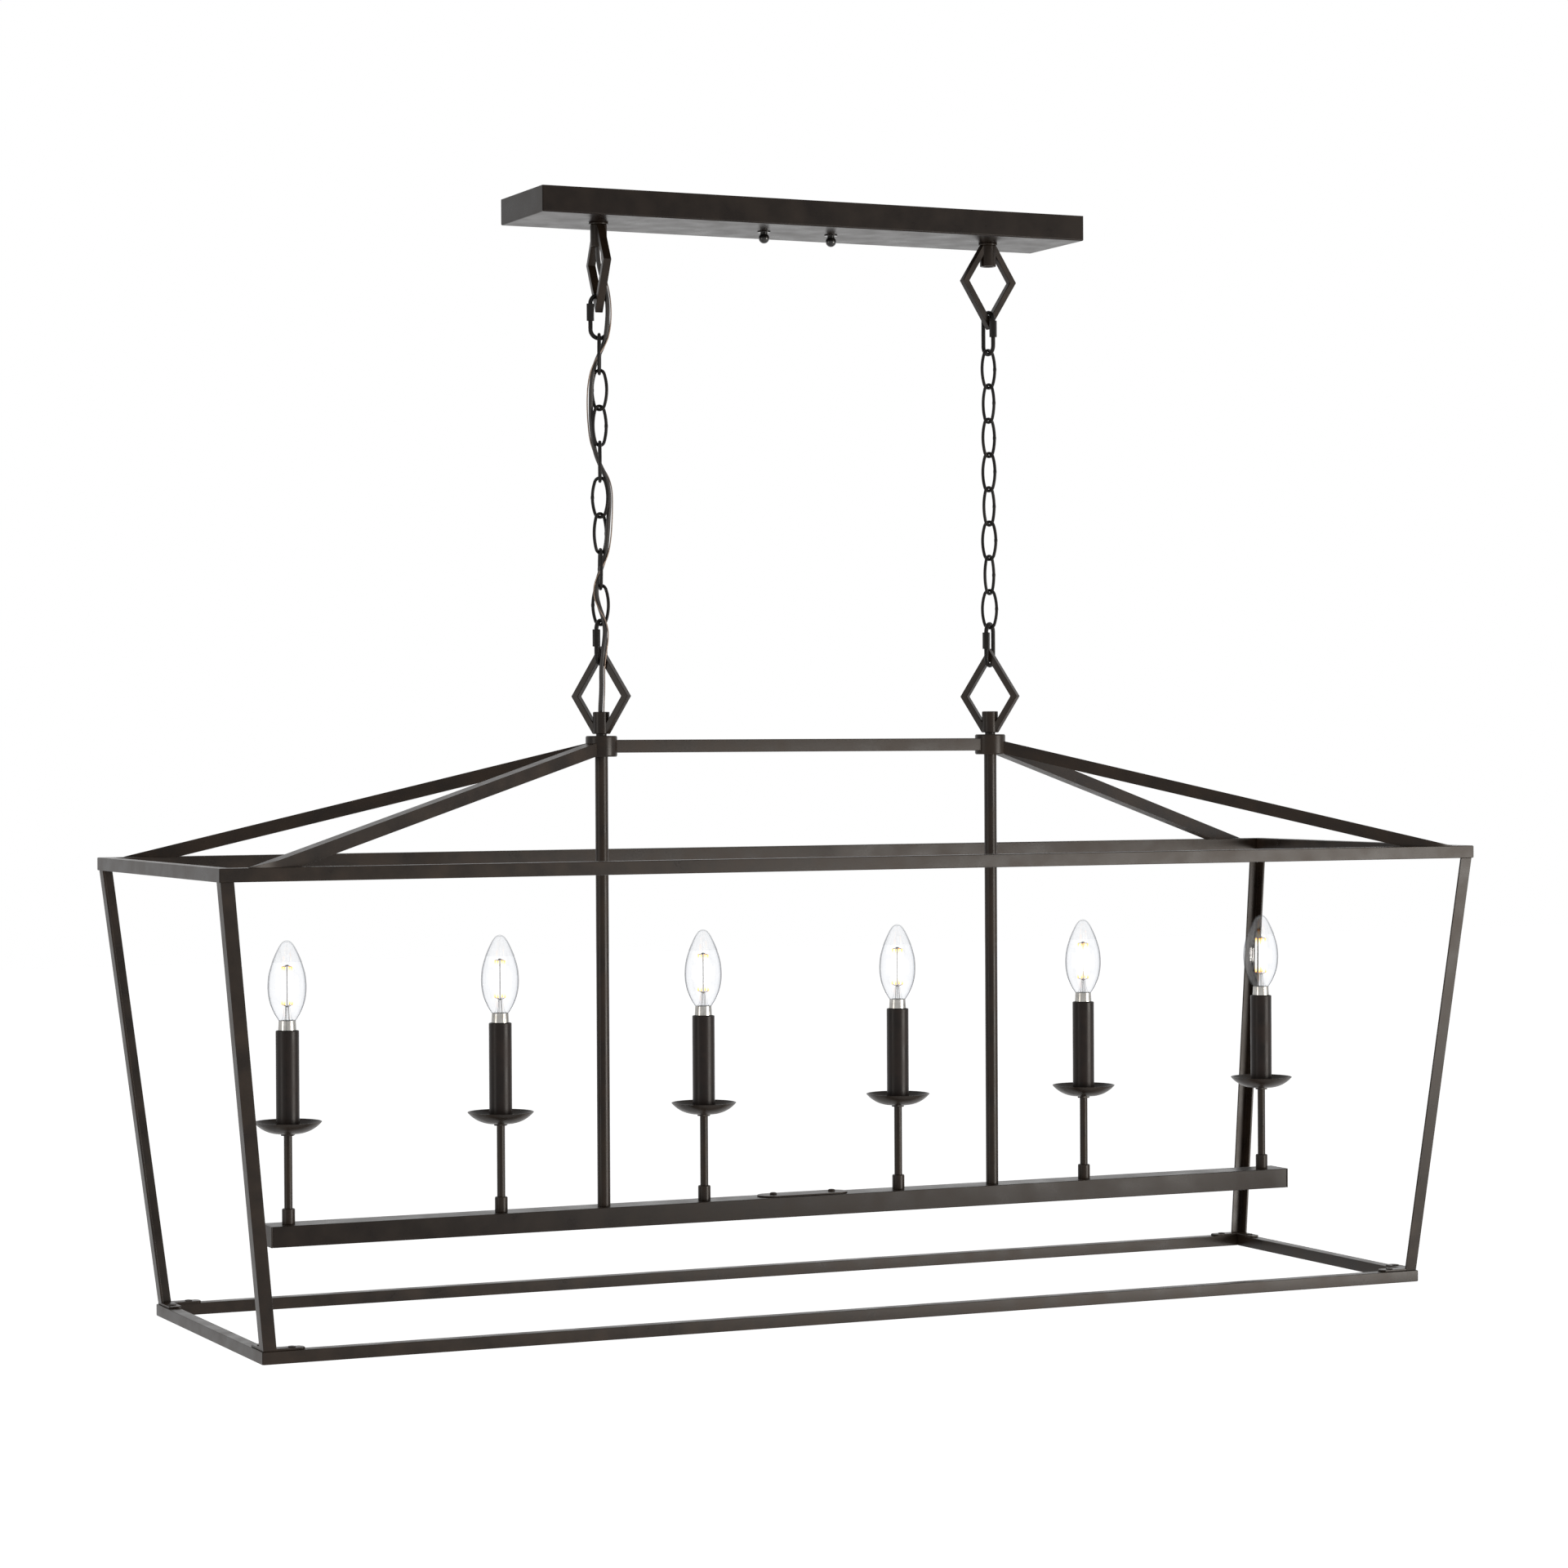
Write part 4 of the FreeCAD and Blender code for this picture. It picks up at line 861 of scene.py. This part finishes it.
# %% [markdown]
# ## Hubs, ridge and roof
# Each hub is a short turned drum with chamfered rims. The ridge bar joins the two, and four
# square arms run down from them to the long upper rails, where they are sawn level with the
# rail and welded.
# %% The hubs
HUB_R = 14.7
HUB_RIM = ((1.0, 0), (0.3, 0.6), (0, 1.4))
hub_low, hub_high = span("hubs")
hub_middle = (hub_low.z + hub_high.z) / 2
hubs = [pipe("hub", NIPPLE_HOLE, HUB_R, side * HANGER, hub_low.z, hub_high.z, (HUB_RIM, HUB_RIM),
             64) for side in SIDES]
steelwork("hub_drums", "hubs", *hubs)

# %% Ridge bar and roof arms
BAR = 12.0
EDGE = 0.7
ARM_INSET = 50.0
ARM_SPARE = 1.2
SQUARE = ((-1, -1), (1, -1), (1, 1), (-1, 1))
frame_low, frame_high = span("upper_rail_front")
deck = frame_high.z
half_length = frame_high.x
half_width = -frame_low.y
corners = [(-HANGER, y * BAR / 2, hub_middle + z * BAR / 2) for y, z in SQUARE]
ridge = bar("ridge", corners, (2 * HANGER, 0, 0), EDGE)
steelwork("ridge_square_bar", "ridge_bar", ridge)
arms = []
for side in SIDES:
    for face in SIDES:
        start = Vector((side * HANGER, 0, hub_middle))
        foot = Vector((side * (half_length - ARM_INSET), face * (half_width - BAR / 2), deck))
        run = foot - start
        across = run.cross(Vector((0, 0, 1))).normalized()
        rise = across.cross(run).normalized()
        corners = [start + (across * i + rise * j) * (BAR / 2) for i, j in SQUARE]
        arm = bar("arm", corners, run * ARM_SPARE)
        keep_side(arm, (0, 0, deck), (0, 0, -1))
        keep_side(arm, (0, face * half_width, 0), (0, face, 0))
        soften(arm, EDGE)
        arms.append(arm)
steelwork("sloping_roof_arms", "roof_arms", *arms)

# %% [markdown]
# ## The two frames
# Each frame is four lengths of square tube, mitred at the corners. Seen from above a length is a
# trapezium, so its outline is drawn in plan and pulled up by the tube's height.
# %% Rails of both frames


def rail(name, length, width, low, height, side, face):
    """One mitred length: along X where side is 0, and along Y where face is 0."""
    x = length / 2
    y = width / 2
    if face:
        plan = [(-x, face * y), (x, face * y), (x - BAR, face * (y - BAR)),
                (BAR - x, face * (y - BAR))]
    else:
        plan = [(side * x, -y), (side * x, y), (side * (x - BAR), y - BAR),
                (side * (x - BAR), BAR - y)]
    return bar(name, [(a, b, low) for a, b in plan], (0, 0, height), EDGE)


for prefix in ("upper", "lower"):
    low, high = span(prefix + "_rail_front")
    size = (2 * high.x, -2 * low.y, low.z, high.z - low.z)
    for face, label in ((-1, "front"), (1, "back")):
        steelwork(f"{prefix}_{label}_square_rail", f"{prefix}_rail_{label}",
                  rail("rail", *size, 0, face))
    steelwork(prefix + "_end_square_rails", prefix + "_end_rails",
              *[rail("end", *size, side, 0) for side in SIDES])

# %% [markdown]
# ## Corner posts
# The posts are angle section, leaning in from the upper to the lower frame. Each ends in a flat
# L-shaped foot on the lower frame, held by two pan-head screws.
# %% Posts and feet
POST_LEG = 12.0
POST_WALL = 2.0
POST_INSET = 1.5
FOOT_LENGTH = 38.0
FOOT_SHEET = 2.0
FOOT_NOSE = 3.0
FOOT_SCREW = 27.0
POST_EDGE = 0.35
THIN_EDGE = 0.4
lower_low, lower_high = span("lower_rail_front")
floor_level = lower_high.z
posts = []
screw_spots = []
for side in SIDES:
    for face in SIDES:
        foot = Vector((side * (lower_high.x - POST_INSET), face * (-lower_low.y - POST_INSET),
                       floor_level))
        head = Vector((side * (half_length - POST_INSET), face * (half_width - POST_INSET),
                       frame_low.z))
        section = ((0, 0), (POST_LEG, 0), (POST_LEG, POST_WALL), (POST_WALL, POST_WALL),
                   (POST_WALL, POST_LEG), (0, POST_LEG))
        corners = [foot - Vector((side * a, face * b, 0)) for a, b in section]
        posts.append(bar("post", corners, head - foot, POST_EDGE))
        nose = FOOT_LENGTH - FOOT_NOSE
        plate = ((0, 0), (nose, 0), (FOOT_LENGTH, FOOT_NOSE), (FOOT_LENGTH, POST_LEG - FOOT_NOSE),
                 (nose, POST_LEG), (POST_LEG, POST_LEG), (POST_LEG, nose),
                 (POST_LEG - FOOT_NOSE, FOOT_LENGTH), (FOOT_NOSE, FOOT_LENGTH), (0, nose))
        corners = [foot - Vector((side * a, face * b, 0)) for a, b in plate]
        posts.append(bar("foot", corners, (0, 0, FOOT_SHEET), THIN_EDGE))
        for a, b in ((FOOT_SCREW, POST_LEG / 2), (POST_LEG / 2, FOOT_SCREW)):
            screw_spots.append((foot.x - side * a, foot.y - face * b))
steelwork("angle_posts_and_feet", "corner_posts", *posts)

# %% Cross-slot screws
HEAD_R = 3.4
HEAD = 2.0
FOOT_HEAD = 0.8
SHANK_R = 1.5
SHANK = 8.0
DRIVE = (4.2, 0.75)
DRIVE_TURNS = (20, 110)
FOOT_SCREW_TURN = 37
COVER_SCREW_TURN = 50


def pan_screw(head):
    """A cross-slot screw about the origin, its head standing on z = 0."""
    rim = head * 0.65
    shape = [(0, -SHANK), (SHANK_R, -SHANK), (SHANK_R, 0), (HEAD_R - 0.1, 0)]
    shape += round_corner(HEAD_R - rim, head - rim, rim, 5, 0, 90) + [(0, head)]
    screw = lathe("pan_screw", shape, steps=32)
    for turn in DRIVE_TURNS:
        bpy.ops.mesh.primitive_cube_add(size=MM, location=(0, 0, head * MM),
                                        scale=(*DRIVE, head * 0.9),
                                        rotation=(0, 0, math.radians(turn)))
        cut_away(screw, settle("slot_cutter"))
    return screw


seat = floor_level + FOOT_SHEET
foot_screw = pan_screw(FOOT_HEAD)
screws = [again(foot_screw, "screw", (x, y, seat), FOOT_SCREW_TURN * k)
          for k, (x, y) in enumerate(screw_spots)]
steelwork("foot_pan_screws", "foot_screws", *screws)
take_away(foot_screw)

# %% [markdown]
# ## Hangers and the lamp beam
# Two round tubes hang from the hubs and carry a long rectangular beam. A thin plate with round
# ends covers the wiring slot in the middle of the beam.
# %% Hanger tubes
HANGER_R = 6.0
HANGER_BORE = 4.8
HANGER_RIMS = (((0.2, 0), (0, 0.2)), SHARP)
hanger_low, hanger_high = span("hanger_tubes")
tubes = [pipe("tube", HANGER_BORE, HANGER_R, side * HANGER, hanger_low.z, hanger_high.z,
              HANGER_RIMS) for side in SIDES]
steelwork("round_hanger_tubes", "hanger_tubes", *tubes)

# %% Beam, end caps and cover plate
beam_low, beam_high = span("lamp_beam")
cap_high = span("beam_end_caps")[1]
half_depth = beam_high.y
corners = [(beam_low.x, y * half_depth, beam_low.z if z < 0 else beam_high.z)
           for y, z in SQUARE]
beam = bar("rectangular_beam", corners, (2 * beam_high.x, 0, 0), EDGE)
dress(beam, "lantern", SHEET_BRONZE, "bronze", "lamp_beam")
caps = []
for side in SIDES:
    corners = [(side * beam_high.x, y, z) for x, y, z in corners]
    caps.append(bar("cap", corners, (side * (cap_high.x - beam_high.x), 0, 0), THIN_EDGE))
steelwork("beam_caps", "beam_end_caps", *caps)
PLATE_EDGE = 0.5
COVER_SCREW_X = 30.5
plate_low, plate_high = span("beam_cover_plate")
end_r = plate_high.y
reach = plate_high.x - end_r
plan = round_corner(reach, 0, end_r, ARC_STEPS, -90, 90)
plan += round_corner(-reach, 0, end_r, ARC_STEPS, 90, 270)
plate = bar("plate", [(a, b, plate_low.z) for a, b in plan],
            (0, 0, plate_high.z - plate_low.z), PLATE_EDGE)
steelwork("oval_cover_plate", "beam_cover_plate", plate)
cover_screw = pan_screw(HEAD)
cover_screws = [again(cover_screw, "screw", (side * COVER_SCREW_X, 0, plate_high.z),
                      COVER_SCREW_TURN * side) for side in SIDES]
steelwork("cover_pan_screws", "cover_plate_screws", *cover_screws)
take_away(cover_screw)

# %% [markdown]
# ## The candles
# Six candles stand on the beam. Each has a collar, a thin stem, a hexagon nut, a shallow spun
# dish with a thin rim and a candle sleeve, open at the top. One of each is turned on the
# lathe, and copied to the six places.
# %% Collar, stem, nut, dish and sleeve
CANDLES = 6
candle_xs = [(k - (CANDLES - 1) / 2) * HANGER for k in range(CANDLES)]
first = candle_xs[0]
COLLAR_R = 5.9
COLLAR_RIMS = (((0.2, 0), (0, 0.3)), ((1.2, 0), (0.35, 0.35), (0, 1.2)))
STEM_R = 3.75
STEM_BORE = 2.4
STEM_HOLE = 3.9
DISH_NUT_ACROSS = 11.5
DISH_FLAT_R = 13.0
DISH_RIM_R = 30.5
DISH_DEPTH = 10.5
DISH_SHEET = 0.9
DISH_RIM = 0.3
DISH_SAG = 2.2
DISH_STEPS = 14
SLEEVE_OUT = 10.5
SLEEVE_IN = 9.3


def six(name, piece, node, material=BRONZE, slot="bronze"):
    """Copy a piece that stands at the first candle to all six places."""
    rest = [again(piece, name, (x - first, 0, 0)) for x in candle_xs[1:]]
    dress(joined(name, [piece] + rest), "lantern", material, slot, node)


low, high = span("stem_collars")
collar = pipe("collar", STEM_HOLE, COLLAR_R, first, low.z, high.z, COLLAR_RIMS)
six("turned_stem_collars", collar, "stem_collars")
low, high = span("candle_stems")
stem = pipe("stem", STEM_BORE, STEM_R, first, low.z, high.z, steps=32)
six("thin_candle_stems", stem, "candle_stems")
low, high = span("dish_nuts")
six("dish_hexagon_nuts", hex_nut("nut", first, low.z, DISH_NUT_ACROSS, high.z - low.z, STEM_HOLE),
    "dish_nuts")


def arc_through(a, b, c, steps):
    """Points on the circle through three (radius, height) points, from a to c."""
    (ax, ay), (bx, by), (cx, cy) = a, b, c
    d = 2 * (ax * (by - cy) + bx * (cy - ay) + cx * (ay - by))
    sa, sb, sc = ax * ax + ay * ay, bx * bx + by * by, cx * cx + cy * cy
    mx = (sa * (by - cy) + sb * (cy - ay) + sc * (ay - by)) / d
    my = (sa * (cx - bx) + sb * (ax - cx) + sc * (bx - ax)) / d
    radius = math.hypot(ax - mx, ay - my)
    start = math.atan2(ay - my, ax - mx)
    sweep = math.atan2(cy - my, cx - mx) - start
    angles = [start + sweep * k / steps for k in range(steps + 1)]
    return [(mx + radius * math.cos(t), my + radius * math.sin(t)) for t in angles]


middle_r = (DISH_FLAT_R + DISH_RIM_R) / 2
middle_h = DISH_DEPTH / 2 - DISH_SAG
under = arc_through((DISH_FLAT_R, 0), (middle_r, middle_h), (DISH_RIM_R, DISH_DEPTH - DISH_RIM),
                    DISH_STEPS)
inside = arc_through((DISH_RIM_R - DISH_SHEET, DISH_DEPTH),
                     (middle_r - DISH_SHEET / 2, middle_h + DISH_SHEET),
                     (DISH_FLAT_R, DISH_SHEET), DISH_STEPS)
dish_outline = [(STEM_HOLE, 0)] + under + [(DISH_RIM_R - DISH_RIM, DISH_DEPTH)] + inside
dish_outline += [(STEM_HOLE, DISH_SHEET), (STEM_HOLE, 0)]
dish = lathe("dish", dish_outline, first, span("drip_dishes")[0].z, 72)
six("spun_drip_dishes", dish, "drip_dishes")
low, high = span("candle_sleeves")
tall = high.z - low.z
sleeve = lathe("sleeve", [(SLEEVE_IN, 0), (SLEEVE_OUT - 0.3, 0), (SLEEVE_OUT, 0.3),
                          (SLEEVE_OUT, tall - 0.4), (SLEEVE_OUT - 0.4, tall),
                          (SLEEVE_IN + 0.2, tall), (SLEEVE_IN, tall - 0.3), (SLEEVE_IN, 0)],
               first, low.z, 56)
six("painted_candle_sleeves", sleeve, "candle_sleeves", CANDLE_BROWN, "candle")

# %% [markdown]
# ## The bulbs
# The glass is a flame shape blown from thin tube: a smooth curve through a few widths, drawn
# once outside and once inside, so the wall has its real thickness. It stands in a nickel base
# on a thread that the socket hides. A glass stem inside carries four filament sticks on fine
# wires.
# %% The glass envelope


def smooth_through(points, steps):
    """A Catmull-Rom curve through (radius, height) points."""
    padded = [points[0]] + list(points) + [points[-1]]
    curve = []
    for p0, p1, p2, p3 in zip(padded, padded[1:], padded[2:], padded[3:]):
        for k in range(steps):
            t = k / steps
            curve.append(tuple(0.5 * (2 * b + (c - a) * t + (2 * a - 5 * b + 4 * c - d) * t * t
                                      + (3 * b - a - 3 * c + d) * t ** 3)
                               for a, b, c, d in zip(p0, p1, p2, p3)))
    return curve + [points[-1]]


GLASS_FOOT_R = 8.0
GLASS_WIDEST_R = 17.4
GLASS_FLAME = ((0.05, 0.585), (0.1, 0.7), (0.2, 0.87), (0.3, 0.965), (0.4, 1.0), (0.5, 0.985),
               (0.6, 0.925), (0.75, 0.735), (0.9, 0.455), (0.97, 0.26), (0.993, 0.115))


def flame(wall):
    """The glass outline from its foot to its tip, drawn in by the wall."""
    wide = GLASS_WIDEST_R - wall
    tall = GLASS_HEIGHT - wall
    knots = [(GLASS_FOOT_R - wall, 0)] + [(wide * r, tall * h) for h, r in GLASS_FLAME]
    return smooth_through(knots + [(0.0, GLASS_HEIGHT - 2 * wall)], 5)


glass_outline = flame(0) + list(reversed(flame(GLASS_WALL))) + [(GLASS_FOOT_R, 0)]
glass = lathe("glass", glass_outline, first, glass_low, 64)

# %% Base, stem and filaments
BASE = 9.0
BASE_R = 8.2
BASE_TOP_R = 7.6
THREAD_R = 5.9
ROOT_R = 5.2
THREADS = 7
THREAD_STEP = 2
FIRST_CREST = -15.4
CONTACT = [(0, -20.0), (2.4, -20.0), (2.6, -18.6), (4.8, -17.0), (5.3, -16.4)]
base_low = glass_low - BASE
thread_outline = list(CONTACT)
for k in range(THREADS):
    crest = FIRST_CREST + THREAD_STEP * k
    thread_outline += [(THREAD_R, crest), (ROOT_R, crest + THREAD_STEP / 2)]
thread_outline += [(ROOT_R, -0.6), (BASE_R - 0.3, -0.1), (BASE_R, 0.3),
                   (BASE_TOP_R + 0.1, BASE - 0.5), (BASE_TOP_R - 0.3, BASE), (0, BASE)]
cup = lathe("cup", thread_outline, first, base_low)
GLASS_STEM = [(0, 0.1), (5.6, 0.1), (4.6, 1.4), (3.6, 4.0), (3.0, 8.6), (2.7, 11.2), (2.0, 12.6),
              (0, 13.4)]
POST_AND_CROWN = [(0, 11.6), (0.4, 11.8), (0.4, 48.4), (1.7, 48.6), (1.8, 49.0), (1.2, 49.6),
                  (0, 49.8)]
glass_stem = lathe("stem", GLASS_STEM, first, glass_low, 24)
FILAMENTS = 4
FILAMENT_R = 0.8
FILAMENT_EDGE = 0.3
SPREAD = 5.0
TOP_SPREAD = 4.6
WIRE_R = 0.28
WIRE_SIDES = 8
WIRE_START = 11.8
WIRE_END = 48.9
LEAD_FOOT = (2.2, 0.2)
LEAD_TOP = (1.5, 12.0)
sticks = []
wires = [lathe("post", POST_AND_CROWN, first, glass_low, 16)]


def rod_between(name, start, end, radius, sides=12):
    """A straight round rod between two points in millimetres."""
    run = end - start
    bpy.ops.mesh.primitive_cylinder_add(vertices=sides, radius=radius * MM,
                                        depth=run.length * MM,
                                        location=(start + end) / 2 * MM,
                                        rotation=run.to_track_quat("Z", "Y").to_euler())
    return settle(name)


def bulb_point(turn, out, height):
    """A point in the first bulb: out from its axis, and up from the foot of its glass."""
    return Vector((first + out * math.cos(turn), out * math.sin(turn), glass_low + height))


for k in range(FILAMENTS):
    turn = 2 * math.pi * (k + 0.5) / FILAMENTS
    low = bulb_point(turn, SPREAD, FILAMENT_FOOT)
    high = bulb_point(turn, TOP_SPREAD, FILAMENT_FOOT + FILAMENT_LENGTH)
    stick = rod_between("stick", low, high, FILAMENT_R)
    soften(stick, FILAMENT_EDGE)
    sticks.append(stick)
    for start, end in ((bulb_point(turn, 0, WIRE_START), low),
                       (high, bulb_point(turn, 0, WIRE_END)),
                       (bulb_point(turn, *LEAD_FOOT), bulb_point(turn, *LEAD_TOP))):
        wires.append(rod_between("wire", start, end, WIRE_R, WIRE_SIDES))

# %% Six bulbs
bulb_parts = ((cup, NICKEL), (joined("wires", wires), LEAD_WIRE), (glass_stem, GLASS),
              (joined("sticks", sticks), FILAMENT))
for part, material in bulb_parts:
    paint(part, material)
inner = joined("bulb_inner", [part for part, material in bulb_parts])
for number, x in enumerate(candle_xs, 1):
    body = f"bulb_{number}"
    dress(again(glass, f"flame_glass_{number}", (x - first, 0, 0)), body, GLASS, "glass",
          body + "_glass", smooth=60)
    dress(again(inner, f"bulb_base_and_filaments_{number}", (x - first, 0, 0)), body, None,
          "bulb_metal", body + "_base", smooth=40)
take_away(glass, inner)

# %% [markdown]
# ## Pieces that keep their measured shape
# The crossbar, the studs, the nipples, the ground screw, the lamp sockets, the leads and the
# wire connectors already have the right shape, so they only get a finish.
# %% Finishes for the hidden pieces
for node, material in (("mounting_crossbar", STEEL), ("canopy_studs", STEEL),
                       ("ground_screw", STEEL), ("loop_nipples", BRONZE),
                       ("hub_nipples", BRONZE), ("lamp_sockets", SOCKET_BLACK),
                       ("lamp_leads", CORD_BROWN), ("wire_connectors", CONNECTOR)):
    paint(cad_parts[node], material)
print("nodes still shown:", [n for n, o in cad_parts.items() if not o.hide_render])

# %% [markdown]
# ## The studio
# The lamp hangs in front of a white wall with nothing else near it. The world is white to the
# camera, in reflections and through glass, and lights the lamp softly. Two large soft boxes put
# long highlights on the round pieces. The pale floor lies far below. Where it is looked at, a
# faint glow lifts it to the white of the wall, and it still takes the lamp's soft shadow. Seen
# from underneath it is clear.
# %% World and lights
SKY_LIGHT = 0.45
WARM_LIGHT = (1.0, 0.94, 0.87)


def looked_at(tree):
    """A node that gives 1 to camera, glossy and transmission rays, and 0 to the rest."""
    ray = add_node(tree, "LightPath")
    direct = add_node(tree, "Math")
    through = add_node(tree, "Math")
    direct.operation = through.operation = "MAXIMUM"
    join_up(tree, (ray, "Is Camera Ray", direct, 0), (ray, "Is Glossy Ray", direct, 1),
            (direct, "Value", through, 0), (ray, "Is Transmission Ray", through, 1))
    return through


world = bpy.data.worlds.new("white_studio")
bpy.context.scene.world = world
world.use_nodes = True
sky = world.node_tree
backdrop = sky.nodes["Background"]
backdrop.inputs["Color"].default_value = (1, 1, 1, 1)
level = add_node(sky, "MapRange", To_Min=SKY_LIGHT, To_Max=1.0)
join_up(sky, (looked_at(sky), "Value", level, "Value"), (level, "Result", backdrop, "Strength"))


def soft_box(name, place, target, width, height, power):
    """A large rectangular lamp that faces the target, in metres and watts."""
    bpy.ops.object.light_add(type="AREA", location=place)
    lamp = bpy.context.object
    lamp.name = name
    lamp.data.shape = "RECTANGLE"
    lamp.data.size = width
    lamp.data.size_y = height
    lamp.data.energy = power
    lamp.data.color = WARM_LIGHT
    lamp.rotation_euler = (Vector(target) - Vector(place)).to_track_quat("-Z", "Y").to_euler()


soft_box("right_soft_box", (2.7, -3.4, -0.95), (0.2, 0, -0.7), 2.1, 1.3, 130)
soft_box("left_soft_box", (-3.6, -0.6, -0.8), (0, 0, -0.8), 1.0, 1.6, 18)

# %% The floor
FLOOR_LEVEL = -2.4
FLOOR_SIZE = 60
FLOOR_LIFT = 0.62
FLOOR_STOPS = ((0, (0.90, 0.90, 0.90)), (1, (0.94, 0.94, 0.94)))
bpy.ops.mesh.primitive_plane_add(size=FLOOR_SIZE, location=(0, 0, FLOOR_LEVEL))
ground = bpy.context.object
ground.name = "pale_floor"
pale, tree, shader = new_material("pale_floor_paint")
shader.inputs["Roughness"].default_value = 0.9
place = add_node(tree, "TexCoord")
cloud = add_node(tree, "TexNoise", Scale=0.6)
tone = colour_ramp(tree, FLOOR_STOPS)
glow = add_node(tree, "Emission")
clear = add_node(tree, "BsdfTransparent")
side_seen = add_node(tree, "NewGeometry")
lift = add_node(tree, "Math")
lift.operation = "MULTIPLY"
lift.inputs[1].default_value = FLOOR_LIFT
lit = add_node(tree, "AddShader")
choose = add_node(tree, "MixShader")
join_up(tree, (place, "Object", cloud, "Vector"), (cloud, "Fac", tone, "Fac"),
        (tone, "Color", shader, "Base Color"), (looked_at(tree), "Value", lift, 0),
        (lift, "Value", glow, "Strength"), (shader, "BSDF", lit, 0), (glow, "Emission", lit, 1),
        (side_seen, "Backfacing", choose, "Fac"), (lit, "Shader", choose, 1),
        (clear, "BSDF", choose, 2), (choose, "Shader", tree.nodes["Material Output"], "Surface"))
paint(ground, pale)
bpy.context.scene.view_settings.view_transform = "Standard"
